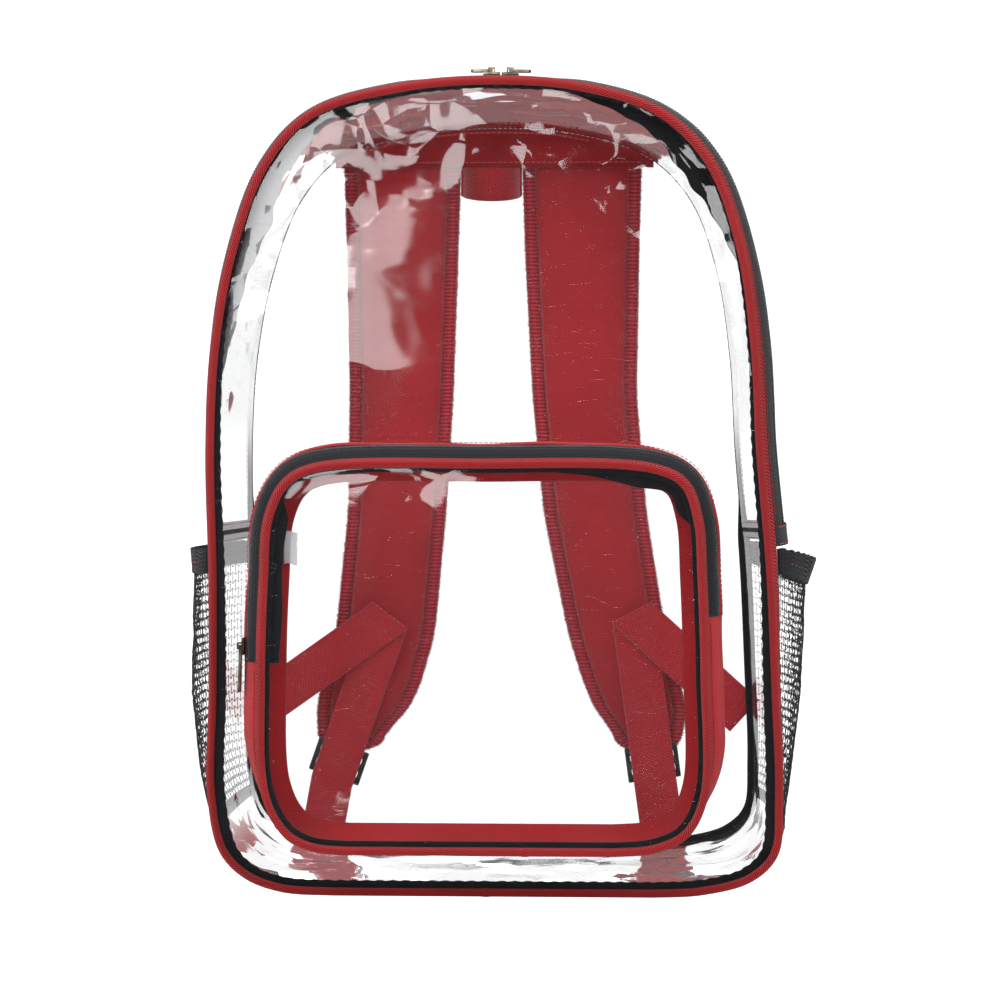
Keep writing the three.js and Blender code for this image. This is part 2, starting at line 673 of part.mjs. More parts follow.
// Front pocket.
function addFrontPocket() {
  const rim = -POCKET_PIPING_RADIUS - CLEARANCE;
  const front = POCKET_PIPING_RADIUS + CLEARANCE;
  const lift = (x, z, share) => -POCKET_PUFF * (1 - share ** 3);
  const clear = panel(pocketSeam, rim, 0, VINYL, [1, 0.9, 0.55], lift);
  addPiece("pocket_panel", clear, vinyl);
  const piping = roundSection(POCKET_PIPING_RADIUS, 6);
  addPiece("pocket_piping", pocketSeam.sweep(pocketSeam.round(), piping, true), redCloth);

  const bindingBack = VINYL / 2 + CLEARANCE;
  const binding = [
    [rim, bindingBack],
    [rim, bindingBack + CLOTH],
    [rim - BINDING_WIDTH / 2, bindingBack + CLOTH],
    [rim - BINDING_WIDTH / 2, bindingBack],
  ];
  addPiece("pocket_binding", pocketSeam.sweep(pocketSeam.round(), binding, true), blackCloth);

  const right = pocketSeam.heightStation(POCKET_ZIP_RIGHT_HEIGHT, 1);
  const left = pocketSeam.heightStation(POCKET_ZIP_LEFT_HEIGHT, -1);
  const zip = pocketSeam.stations(right + END_GAP, left - END_GAP);
  const coilStart = front + POCKET_TAPE_WIDTH + CLEARANCE;
  const coilEnd = coilStart + POCKET_COIL_WIDTH;
  const tape = strip(0, CLOTH, [front, coilStart - CLEARANCE]);
  addPiece("pocket_zip_tape", pocketSeam.sweep(zip, tape), blackCloth);
  const coil = strip(COIL_HEIGHT / 2, COIL_HEIGHT, [coilStart, coilEnd]);
  addPiece("pocket_zip_coil", pocketSeam.sweep(zip, coil), blackPlastic);
  const facing = strip(0, CLOTH, evenly(coilEnd + CLEARANCE, POCKET_DEPTH, 2));
  addPiece("pocket_zip_facing", pocketSeam.sweep(zip, facing), redCloth);
  const lower = pocketSeam.stations(left + END_GAP, 1 + right - END_GAP);
  const gusset = strip(0, CLOTH, evenly(front, POCKET_DEPTH, 3));
  addPiece("pocket_gusset", pocketSeam.sweep(lower, gusset), redCloth);

  const labelShape = new THREE.BoxGeometry(LABEL_WIDTH, LABEL_WALL, LABEL_HEIGHT);
  const labelHeight = POCKET_HEIGHT * LABEL_UP;
  const seam = pocketSeam.heightStation(labelHeight, -1);
  const place = pocketSeam.at(seam, -CLOTH - CLEARANCE - LABEL_WIDTH / 2 - 4 * LABEL_WALL, coilEnd + LABEL_BEHIND);
  labelShape.translate(place.x, place.y, place.z);
  addPiece("inner_label", labelShape, labelCloth);
  return (coilStart + coilEnd) / 2;
}

// Zip sliders with a hinged pull: local X runs along the zip, Z stands out of it.
const sliderFoot = COIL_HEIGHT / 2 + CLEARANCE;
const sliderTop = sliderFoot + SLIDER_WALL;
const archHalf = PULL_WALL * 0.71 + 0.2;
const pullAxis = sliderTop + archHalf;

function extruded(shape, thickness) {
  return new THREE.ExtrudeGeometry(shape, {
    depth: thickness,
    bevelEnabled: false,
    curveSegments: 3,
  });
}

function rectanglePath(Kind, x0, y0, x1, y1) {
  const path = new Kind();
  path.moveTo(x0, y0);
  path.lineTo(x1, y0);
  path.lineTo(x1, y1);
  path.lineTo(x0, y1);
  path.closePath();
  return path;
}

function sliderGeometry() {
  const nose = SLIDER_WIDTH * 0.3;
  const half = SLIDER_LENGTH / 2;
  const outline = new THREE.Shape();
  outline.moveTo(-half, -nose);
  outline.lineTo(-half / 3, -SLIDER_WIDTH / 2);
  outline.lineTo(half, -SLIDER_WIDTH / 2);
  outline.lineTo(half, SLIDER_WIDTH / 2);
  outline.lineTo(-half / 3, SLIDER_WIDTH / 2);
  outline.lineTo(-half, nose);
  outline.closePath();
  const plate = extruded(outline, SLIDER_WALL).translate(0, 0, sliderFoot);

  const outer = archHalf + ARCH_WALL;
  const sink = SLIDER_WALL / 2;
  const arch = rectanglePath(THREE.Shape, -outer, -sink, outer, archHalf + outer);
  arch.holes.push(rectanglePath(THREE.Path, -archHalf, 0, archHalf, 2 * archHalf));
  const standing = extruded(arch, ARCH_WIDTH).rotateX(Math.PI / 2);
  standing.translate(0, ARCH_WIDTH / 2, sliderTop);
  return fuse(plate, standing);
}

function pullGeometry(length, way) {
  const half = PULL_WIDTH / 2;
  const bar = PULL_WALL / 2;
  const clear = Math.SQRT2 * (archHalf + ARCH_WALL) + CLEARANCE;
  const outline = new THREE.Shape();
  outline.moveTo(-bar, -half);
  outline.lineTo(length - half / 2, -half);
  outline.lineTo(length, -half / 2);
  outline.lineTo(length, half / 2);
  outline.lineTo(length - half / 2, half);
  outline.lineTo(-bar, half);
  outline.closePath();
  const eye = ARCH_WIDTH / 2 + CLEARANCE;
  outline.holes.push(rectanglePath(THREE.Path, bar, -eye, clear, eye));
  const plate = extruded(outline, PULL_WALL).translate(0, 0, -PULL_WALL / 2);
  if (way < 0) plate.rotateZ(Math.PI);
  return plate.translate(0, 0, pullAxis);
}

function addSlider(seam, u, back, names, length, way) {
  const origin = seam.at(u, 0, back);
  const { outward } = seam.frame(u);
  const depth = new THREE.Vector3(0, 1, 0);
  const along = new THREE.Vector3().crossVectors(depth, outward);
  const matrix = new THREE.Matrix4().makeBasis(along, depth, outward).setPosition(origin);
  addPiece(names.slider, sliderGeometry(), darkMetal, matrix);
  addPiece(names.pull, pullGeometry(length, way), darkMetal, matrix);
}

function addSliders(pocketCoilBack) {
  const back = (coilFront + coilBack) / 2;
  const apart = SLIDER_LENGTH + 2 * CLEARANCE;
  const leftPlace = -SLIDER_LENGTH / 12;
  const left = { slider: "slider_left", pull: "pull_left" };
  addSlider(bagSeam, bagSeam.topStation(leftPlace), back, left, PULL_LENGTH, -1);
  const right = { slider: "slider_right", pull: "pull_right" };
  addSlider(bagSeam, bagSeam.topStation(leftPlace + apart), back, right, PULL_LENGTH, 1);
  const pocket = { slider: "pocket_slider", pull: "pocket_pull" };
  const u = pocketSeam.heightStation(POCKET_SLIDER_HEIGHT, -1);
  addSlider(pocketSeam, u, pocketCoilBack, pocket, POCKET_PULL_LENGTH, -1);
}

// Carrying system behind the back panel.
const yokeFront = backPanelRear + CLEARANCE;
const yokeRear = yokeFront + CLOTH;

function addYoke() {
  const out = rimOut - REAR_FLANGE_WIDTH - 3 * CLEARANCE;
  const lowest = YOKE_EDGE_HEIGHT + YOKE_END_HEIGHT;
  const edge = (outer) => {
    let [low, high] = [outer, 0.5];
    for (let i = 0; i < 30; i++) {
      const middle = (low + high) / 2;
      if (bagSeam.at(middle, out, yokeFront).z < lowest) low = middle;
      else high = middle;
    }
    return high;
  };
  const stations = bagSeam.stations(edge(0.3), edge(0.7));
  const rings = stations.map((u) => {
    const top = bagSeam.at(u, out, yokeFront);
    return [
      [top.z, yokeFront],
      [top.z, yokeRear],
      [YOKE_EDGE_HEIGHT, yokeRear],
      [YOKE_EDGE_HEIGHT, yokeFront],
    ].map(([z, y]) => new THREE.Vector3(top.x, y, z));
  });
  addPiece("yoke", skin(rings, false), redCloth);
}

// A ribbon through sections: a centre, half its width and half its thickness as vectors.
function ribbon(sections) {
  const rings = sections.map(({ centre, across, through }) =>
    [
      [-1, -1],
      [1, -1],
      [1, 1],
      [-1, 1],
    ].map(([a, t]) =>
      centre.clone().addScaledVector(across, a).addScaledVector(through, t),
    ),
  );
  return skin(rings, false);
}

function addHaulLoop() {
  const parts = 12;
  const across = new THREE.Vector3(0, 0, HAUL_WIDTH / 2);
  const sections = [...Array(parts + 1).keys()].map((i) => {
    const angle = (Math.PI * i) / parts;
    const x = HAUL_SIDE_SHIFT - (HAUL_SPAN / 2) * Math.cos(angle);
    const y = yokeRear + CLEARANCE + HAUL_BOW * Math.sin(angle);
    const along = new THREE.Vector3(
      (HAUL_SPAN / 2) * Math.sin(angle),
      HAUL_BOW * Math.cos(angle),
      0,
    ).normalize();
    const through = new THREE.Vector3(-along.y, along.x, 0).multiplyScalar(WEB_THICKNESS / 2);
    return { centre: new THREE.Vector3(x, y, HAUL_HEIGHT), across, through };
  });
  addPiece("haul_loop", ribbon(sections), redCloth);
}

function strapCurve(rows, side) {
  return rows.map((row) => ({
    centre: new THREE.Vector3(
      (side * row.centre * BAG_WIDTH) / 2,
      yokeRear + CLEARANCE + (row.thick * STRAP_THICKNESS) / 2 + row.bow * STRAP_BOW,
      row.up * BAG_HEIGHT,
    ),
    half: (row.width * STRAP_WIDTH) / 2,
    thick: row.thick * STRAP_THICKNESS,
  }));
}

// Shares of the pad's half width and half thickness, once round its section.
const PAD_SECTION = [
  [-1, -0.25],
  [-0.78, -0.85],
  [-0.3, -1],
  [0.3, -1],
  [0.78, -0.85],
  [1, -0.25],
  [1, 0.25],
  [0.78, 0.85],
  [0.3, 1],
  [-0.3, 1],
  [-0.78, 0.85],
  [-1, 0.25],
];

function addStrap(suffix, rows, side) {
  const curve = strapCurve(rows, side);
  const border = STRAP_BINDING_WIDTH + CLEARANCE;
  const padded = curve.slice(0, -1);
  const rings = padded.map(({ centre, half, thick }) =>
    PAD_SECTION.map(([across, through]) =>
      centre
        .clone()
        .add(new THREE.Vector3(across * (half - border), (through * thick) / 2, 0)),
    ),
  );
  addPiece("shoulder_strap_" + suffix, skin(rings, false), redCloth);

  const edge = (sign) =>
    curve.map(({ centre, half }) => ({
      outer: centre.clone().add(new THREE.Vector3(sign * half, 0, 0)),
      inner: centre.clone().add(new THREE.Vector3(sign * (half - STRAP_BINDING_WIDTH), 0, 0)),
    }));
  const last = curve[curve.length - 1];
  const foot = last.centre.clone();
  const down = new THREE.Vector3(0, 0, -STRAP_BINDING_WIDTH * 0.6);
  const middle = { inner: foot, outer: foot.clone().add(down) };
  const path = [...edge(-1), middle, ...edge(1).reverse()];
  const through = new THREE.Vector3(0, STRAP_BINDING_THICKNESS / 2, 0);
  const bands = path.map(({ inner, outer }) => [
    inner.clone().sub(through),
    outer.clone().sub(through),
    outer.clone().add(through),
    inner.clone().add(through),
  ]);
  addPiece("strap_binding_" + suffix, skin(bands, false), redCloth);
}

function webPlace(row, side) {
  return new THREE.Vector3(
    (side * row.side * BAG_WIDTH) / 2,
    yokeRear + CLEARANCE + row.bow * STRAP_BOW,
    row.up * BAG_HEIGHT,
  );
}

function webAcross(from, to) {
  const along = to.clone().sub(from);
  return new THREE.Vector3(along.z, 0, -along.x).normalize().multiplyScalar(WEB_WIDTH / 2);
}

function addWebbing(suffix, table, side) {
  const [seam, crease, lock, bend, end] = ["seam", "crease", "lock", "bend", "end"].map((key) =>
    webPlace(table[key], side),
  );
  const up = crease.clone().sub(seam).setY(0).normalize();
  const down = lock.clone().sub(crease).setY(0).normalize();
  const fold = up.clone().add(down).normalize();
  const lean = Math.abs(new THREE.Vector3().crossVectors(up, fold).y);
  const first = webAcross(seam, crease);
  const creaseAcross = fold.multiplyScalar(WEB_WIDTH / 2 / lean);
  if (creaseAcross.dot(first) < 0) creaseAcross.negate();
  const second = webAcross(crease, lock);
  if (second.dot(creaseAcross) < 0) second.negate();
  const thin = WEB_THICKNESS / 2;
  const through = new THREE.Vector3(0, thin, 0);
  const outside = new THREE.Vector3(-creaseAcross.z, 0, creaseAcross.x).normalize();
  if (outside.dot(up) < 0) outside.negate();
  const turned = outside.clone().multiplyScalar(-thin);
  const apart = new THREE.Vector3(0, WEB_THICKNESS + CLEARANCE, 0);
  const leg = crease.clone().add(apart);
  const turn = crease.clone().addScaledVector(apart, 0.5).addScaledVector(outside, thin);
  const back = through.clone().negate();
  const tail = new THREE.Vector3(0, 0, thin);
  const reach = down.clone().multiplyScalar(LOCK_HEIGHT * 0.6);
  const sections = [
    { centre: seam, across: first, through },
    { centre: seam.clone().lerp(crease, 0.7), across: first, through },
    { centre: crease, across: creaseAcross, through },
    { centre: turn, across: creaseAcross, through: turned },
    { centre: leg, across: creaseAcross, through: back },
    { centre: leg.clone().lerp(lock, 0.35), across: second, through: back },
    { centre: lock.clone().sub(reach), across: second, through: back },
    { centre: lock.clone().add(reach), across: second, through: back },
    { centre: bend, across: second, through: back },
    { centre: end, across: second, through: tail.negate() },
  ];
  addPiece("webbing_" + suffix, ribbon(sections), redCloth);
  return { lock, second };
}

function addLock(suffix, { lock, second }) {
  const frame = rectanglePath(
    THREE.Shape,
    -LOCK_WIDTH / 2,
    -LOCK_HEIGHT / 2,
    LOCK_WIDTH / 2,
    LOCK_HEIGHT / 2,
  );
  const slotHalf = WEB_WIDTH / 2 + CLEARANCE;
  const slot = (LOCK_HEIGHT - 3 * LOCK_BAR) / 2;
  for (const low of [-LOCK_HEIGHT / 2 + LOCK_BAR, LOCK_BAR / 2])
    frame.holes.push(rectanglePath(THREE.Path, -slotHalf, low, slotHalf, low + slot));
  const tilt = Math.atan2(-second.z, second.x);
  const upright = Math.abs(tilt) > Math.PI / 2 ? tilt + Math.PI : tilt;
  const geometry = extruded(frame, LOCK_THICKNESS)
    .translate(0, 0, -LOCK_THICKNESS / 2)
    .rotateX(Math.PI / 2);
  const place = new THREE.Matrix4().makeRotationY(upright);
  const stand = WEB_THICKNESS / 2 + CLEARANCE + LOCK_THICKNESS / 2;
  place.setPosition(lock.x, lock.y + stand, lock.z);
  addPiece("ladder_lock_" + suffix, geometry, blackPlastic, place);
}

addMainCompartment();
addSidePockets();
addSliders(addFrontPocket());
addYoke();
addHaulLoop();
for (const [suffix, strapRows, web, side] of [
  ["left", STRAP_LEFT, WEB_LEFT, -1],
  ["right", STRAP_RIGHT, WEB_RIGHT, 1],
]) {
  addStrap(suffix, strapRows, side);
  addLock(suffix, addWebbing(suffix, web, side));
}

// The origin goes to the bottom centre of the whole bag.
const extent = new THREE.Box3().setFromObject(bag, true);
const middle = extent.getCenter(new THREE.Vector3());
bag.position.set(-middle.x, -middle.y, -extent.min.z);
const part = new THREE.Group().add(bag);
export default part;
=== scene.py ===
"""A clear stadium backpack in red and black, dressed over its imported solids.

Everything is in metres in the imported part's frame: +Z up, the front towards -Y. Sizes of the
bag's own frame start at its front seam's bottom middle; Layout.world places them.
"""

import json
import logging
import math
from collections.abc import Callable, Sequence
from dataclasses import dataclass, field
from enum import Enum

import bmesh
import bpy
import numpy as np
from mathutils import Matrix, Vector, noise

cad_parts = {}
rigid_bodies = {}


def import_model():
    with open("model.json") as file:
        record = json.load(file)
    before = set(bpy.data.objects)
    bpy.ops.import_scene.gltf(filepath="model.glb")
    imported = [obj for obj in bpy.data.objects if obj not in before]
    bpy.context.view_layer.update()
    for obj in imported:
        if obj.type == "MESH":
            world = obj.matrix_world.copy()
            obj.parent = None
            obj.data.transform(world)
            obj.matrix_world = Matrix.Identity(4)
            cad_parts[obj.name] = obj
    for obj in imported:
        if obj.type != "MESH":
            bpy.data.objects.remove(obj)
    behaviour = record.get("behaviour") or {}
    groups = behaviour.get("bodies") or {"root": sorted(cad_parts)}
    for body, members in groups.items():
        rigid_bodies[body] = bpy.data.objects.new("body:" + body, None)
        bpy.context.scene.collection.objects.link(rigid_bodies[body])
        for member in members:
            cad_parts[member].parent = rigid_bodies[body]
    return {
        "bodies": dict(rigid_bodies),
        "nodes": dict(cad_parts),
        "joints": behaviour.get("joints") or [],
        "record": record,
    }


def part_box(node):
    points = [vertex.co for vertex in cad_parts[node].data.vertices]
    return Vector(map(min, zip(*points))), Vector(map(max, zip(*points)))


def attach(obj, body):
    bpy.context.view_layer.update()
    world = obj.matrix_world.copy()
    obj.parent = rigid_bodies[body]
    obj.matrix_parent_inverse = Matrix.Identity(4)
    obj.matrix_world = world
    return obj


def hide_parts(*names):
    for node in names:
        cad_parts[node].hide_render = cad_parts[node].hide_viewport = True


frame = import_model()
log = logging.getLogger("backpack")

CLEARANCE = 0.0003
TINY = 1e-6
THREAD_LIFT = 0.0001
STRIP = 0.01
SQUARE = ((0, 0), (0, 1), (1, 1), (1, 0))

Array = np.ndarray
Shape = bmesh.types.BMesh
Material = bpy.types.Material
Piece = bpy.types.Object
Socket = bpy.types.NodeSocket
Place = Callable[[Array, Array], Array]
Warp = Callable[[Array, Array, Array], tuple[Array, Array]]


class Side(Enum):
    """The two sides of the bag, seen from the front."""

    LEFT = -1
    RIGHT = 1

    @property
    def word(self) -> str:
        """The side's word in the names of nodes."""
        return self.name.lower()


class Weave(Enum):
    """How the threads of a cloth cross."""

    PLAIN = "plain"
    TWILL = "twill"
    RIB = "rib"


# Tables of the outline, in shares of the named sizes

# Height as a share of the bag's height, sides as shares of half its width.
BAG_OUTLINE = (
    (0.0, 0.568, 0.568),
    (0.004, 0.744, 0.747),
    (0.02, 0.867, 0.905),
    (0.05, 0.949, 0.989),
    (0.12, 0.991, 1.005),
    (0.25, 0.984, 0.991),
    (0.4, 0.982, 0.97),
    (0.55, 0.989, 0.933),
    (0.68, 0.967, 0.911),
    (0.8, 0.9, 0.858),
    (0.9, 0.788, 0.751),
    (0.96, 0.625, 0.579),
    (0.992, 0.302, 0.295),
)

# How far the gusset stands out at each height: sides as shares of the swell.
BAG_SWELL = (
    (0.0, 0.0, 0.0),
    (0.07, 0.0, 0.08),
    (0.15, 0.1, 0.23),
    (0.26, 0.2, 0.46),
    (0.355, 0.25, 0.77),
    (0.43, 0.3, 1.0),
    (0.6, 0.38, 0.92),
    (0.78, 0.42, 0.7),
    (0.93, 0.5, 0.68),
    (1.0, 0.48, 0.48),
)

# The pocket's outline, in shares of its own height and half width.
POCKET_OUTLINE = (
    (0.0, 0.62, 0.6),
    (0.012, 0.79, 0.79),
    (0.05, 0.9, 0.92),
    (0.15, 0.985, 1.0),
    (0.45, 1.0, 1.0),
    (0.7, 0.985, 0.985),
    (0.86, 0.962, 0.965),
    (0.95, 0.885, 0.905),
    (0.988, 0.76, 0.77),
)

# Cloth folded in behind the front piping: height as a share, widths at the sides in metres.
ALLOWANCE = (
    (0.56, 0.0, 0.0),
    (0.697, 0.0075, 0.0),
    (0.734, 0.0095, 0.0),
    (0.8, 0.0125, 0.007),
    (0.846, 0.0145, 0.012),
    (0.877, 0.0135, 0.015),
    (0.932, 0.0115, 0.015),
    (0.964, 0.0085, 0.012),
    (0.985, 0.005, 0.0065),
    (1.0, 0.0026, 0.0026),
)

# Front binding: height as a share of the bag's height, share of its full width.
BINDING_WIDTH = ((0.0, 0.55), (0.01, 0.55), (0.06, 0.8), (0.3, 0.8), (0.55, 0.62), (0.75, 0.4))

# Net pockets: height as a share of the net, bulge at each side as a share of the most.
NET_SHAPE = (
    (0.0, 0.25, 0.25),
    (0.22, 0.65, 0.47),
    (0.5, 1.0, 0.76),
    (0.75, 0.94, 0.76),
    (1.0, 0.8, 0.72),
)

# Shoulder straps: height, centre, width, stand-off and thickness, in shares of the bag's height,
# half its width, and the strap's own width, bow and thickness.
STRAP_ROWS = {
    Side.RIGHT: (
        (0.955, 0.318, 1.15, 0.0, 0.26),
        (0.915, 0.318, 1.14, 0.02, 0.5),
        (0.8, 0.32, 1.1, 0.35, 1.0),
        (0.62, 0.33, 1.02, 0.8, 1.0),
        (0.454, 0.373, 1.01, 1.0, 1.0),
        (0.284, 0.461, 0.96, 0.9, 1.0),
        (0.206, 0.53, 0.95, 0.72, 0.9),
        (0.165, 0.57, 0.84, 0.58, 0.6),
        (0.145, 0.585, 0.6, 0.5, 0.3),
    ),
    Side.LEFT: (
        (0.955, 0.38, 1.13, 0.0, 0.26),
        (0.915, 0.38, 1.12, 0.02, 0.5),
        (0.8, 0.386, 1.08, 0.35, 1.0),
        (0.62, 0.395, 1.02, 0.8, 1.0),
        (0.454, 0.416, 0.97, 1.0, 1.0),
        (0.284, 0.463, 0.98, 0.9, 1.0),
        (0.206, 0.526, 0.98, 0.72, 0.9),
        (0.165, 0.565, 0.84, 0.58, 0.6),
        (0.145, 0.6, 0.6, 0.5, 0.3),
    ),
}

# Lower webbing at its seam, crease, lock, bend and end: side, height and stand-off, in shares of
# half the bag's width, its height and the strap's bow.
WEB_ROWS = {
    Side.RIGHT: (
        (0.955, 0.178, 0.035),
        (0.52, 0.317, 0.2),
        (0.6, 0.1093, 0.36),
        (0.635, 0.02, 0.4),
        (0.64, 0.008, 1.05),
    ),
    Side.LEFT: (
        (0.95, 0.185, 0.035),
        (0.44, 0.312, 0.2),
        (0.64, 0.1093, 0.36),
        (0.7, 0.02, 0.4),
        (0.715, 0.009, 1.05),
    ),
}


# Small tools


def packed(node: str) -> Piece:
    """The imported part's own object of that name."""
    return frame["nodes"][node]


def column(rows: tuple, at: Array, index: int) -> Array:
    """Reads one column of a table whose rows are ordered by their first value.

    Args:
        rows: the table.
        at: where to read it.
        index: the column.

    Returns:
        The column's values there.
    """
    table = np.array(rows)
    return np.interp(at, table[:, 0], table[:, index])


def smoothstep(low: float, high: float, value: Array) -> Array:
    """A smooth rise from 0 at low to 1 at high."""
    share = np.clip((value - low) / (high - low), 0.0, 1.0)
    return share * share * (3 - 2 * share)


def ripple(points: Array, scale: float, seed: float, ridged: bool = False) -> Array:
    """Smooth noise from -1 to 1 at each point.

    Args:
        points: places, one a row.
        scale: size of a ripple in metres.
        seed: picks one of many patterns.
        ridged: gives sharp crests in place of round ones.

    Returns:
        One value a point.
    """
    offset = Vector((seed * 7.3, seed * 3.1, seed * 5.7))
    values = np.array([noise.noise(Vector(p) / scale + offset) for p in points])
    return 1 - 2 * np.abs(values) if ridged else values


def laid(columns: int, rows: int, place: Place, size: tuple[float, float]) -> Shape:
    """Lays a grid on a surface.

    Args:
        columns: faces along it.
        rows: faces across it.
        place: gives a point for each share along and across.
        size: length and width in metres, which the weave's map takes.

    Returns:
        The grid, with borders that meet merged.
    """
    bm = bmesh.new()
    weave = bm.loops.layers.uv.new("weave")
    bmesh.ops.create_grid(bm, x_segments=columns, y_segments=rows, size=0.5)
    for face in bm.faces:
        for loop in face.loops:
            co = loop.vert.co
            loop[weave].uv = ((co.x + 0.5) * size[0], (co.y + 0.5) * size[1])
    shares = np.array([v.co for v in bm.verts]) + 0.5
    for vert, point in zip(bm.verts, place(shares[:, 0], shares[:, 1])):
        vert.co = point
    bmesh.ops.remove_doubles(bm, verts=bm.verts, dist=TINY)
    return bm


def close_ends(bm: Shape) -> None:
    """Closes the open ends of a tube."""
    rims = [edge for edge in bm.edges if edge.is_boundary]
    bmesh.ops.holes_fill(bm, edges=rims, sides=0)


def finished(bm: Shape, name: str, material: Material) -> Piece:
    """Makes a smooth-shaded object at the origin out of a bmesh.

    Args:
        bm: the shape, which is freed.
        name: the object's name.
        material: its finish.

    Returns:
        The object, in the scene.
    """
    bmesh.ops.recalc_face_normals(bm, faces=bm.faces)
    mesh = bpy.data.meshes.new(name)
    for face in bm.faces:
        face.smooth = True
    bm.to_mesh(mesh)
    bm.free()
    mesh.materials.append(material)
    piece = bpy.data.objects.new(name, mesh)
    bpy.context.scene.collection.objects.link(piece)
    log.info("%s: %d faces", name, len(mesh.polygons))
    return piece


def seat(piece: Piece, slot: str, *nodes: str) -> None:
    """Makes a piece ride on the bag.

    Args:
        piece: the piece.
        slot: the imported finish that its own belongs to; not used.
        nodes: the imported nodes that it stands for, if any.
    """
    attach(piece, "bag")
    if nodes:
        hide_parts(*nodes)


def dressed(bm: Shape, name: str, material: Material, slot: str, *nodes: str) -> Piece:
    """Makes a piece of the bag out of a bmesh, as finished and seat do.

    Args:
        bm: the shape, which is freed.
        name: the piece's name.
        material: its finish.
        slot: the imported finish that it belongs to.
        nodes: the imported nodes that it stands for.

    Returns:
        The piece.
    """
    piece = finished(bm, name, material)
    seat(piece, slot, *nodes)
    return piece


def places_of(piece: Piece) -> Array:
    """Where the piece's vertices are, one a row."""
    return np.array([v.co for v in piece.data.vertices])


def mark(piece: Piece, amount: Array) -> None:
    """Keeps the creasing of each vertex in the piece's mesh."""
    layer = piece.data.attributes.new("crease", "FLOAT", "POINT")
    layer.data.foreach_set("value", np.asarray(amount, np.float32))


def run_along(points: Array) -> Array:
    """The distance along a line of points to each of them."""
    return np.concatenate([[0], np.cumsum(np.linalg.norm(np.diff(points, axis=0), axis=1))])


def read_line(at: Array, run: Array, points: Array) -> Array:
    """The places on a line of points.

    Args:
        at: distances along it.
        run: the distance to each of its points.
        points: its points, one a row.

    Returns:
        One place a distance.
    """
    return np.stack([np.interp(at, run, part) for part in points.T], axis=-1)


def round_girth(section: Array, girth: Array) -> Array:
    """The points of a closed section at shares of its girth, one a row."""
    return section[np.rint(girth * (len(section) - 1)).astype(int)]


def rounded(corners: Sequence[tuple[float, float]], radius: float, steps: int = 3) -> Array:
    """A polygon with rounded corners.

    Args:
        corners: its corners in order.
        radius: of each corner, where its sides leave room.
        steps: straight parts of each corner.

    Returns:
        Points round the polygon, the first repeated at the end.
    """
    points = []
    count = len(corners)
    for i, corner in enumerate(corners):
        here = Vector(corner)
        before = Vector(corners[i - 1]) - here
        after = Vector(corners[(i + 1) % count]) - here
        cut = min(radius, before.length * 0.49, after.length * 0.49)
        start, end = here + before.normalized() * cut, here + after.normalized() * cut
        for step in range(steps + 1):
            t = step / steps
            points.append(start * (1 - t) ** 2 + here * 2 * t * (1 - t) + end * t * t)
    points.append(points[0])
    return np.array(points)


def divided(section: Array, longest: float) -> Array:
    """Adds points to a closed section so that none of its sides is longer than longest.

    Args:
        section: its points.
        longest: side that may stay, in metres.

    Returns:
        The new section.
    """
    points = [section[0]]
    for a, b in zip(section[:-1], section[1:]):
        parts = max(1, math.ceil(np.linalg.norm(b - a) / longest))
        points += [a + (b - a) * (k + 1) / parts for k in range(parts)]
    return np.array(points)


def strip_section(
    out: float, wall: float, front: float, back: float, step: float, radius: float | None = None
) -> Array:
    """The closed section of a flat strip with soft edges.

    Args:
        out: its outer face.
        wall: its thickness.
        front: the depth at which it starts.
        back: the depth at which it ends.
        step: the longest side between two points.
        radius: of its edges, in place of nearly half its thickness.

    Returns:
        Pairs of out and back, the first repeated at the end.
    """
    corners = [(out, front), (out, back), (out - wall, back), (out - wall, front)]
    return divided(rounded(corners, radius or wall * 0.48, 2), step)


def trimmed(rim: float, out: Array, width: Array, wavy: Array) -> Array:
    """Brings a strip of the width STRIP to its own width at each point.

    Args:
        rim: its outer edge.
        out: the points' distances outside the seam.
        width: its own width in metres.
        wavy: a factor that makes its inner edge uneven.

    Returns:
        The new distances.
    """
    return rim - (rim - out) / STRIP * np.maximum(width, 0.0004) * wavy


def round_section(radius: float, sides: int) -> Array:
    """The closed section of a round cord."""
    turn = np.linspace(0, 2 * math.pi, sides + 1)
    return np.stack([radius * np.cos(turn), radius * np.sin(turn)], axis=1)


# The frame that every piece is placed in


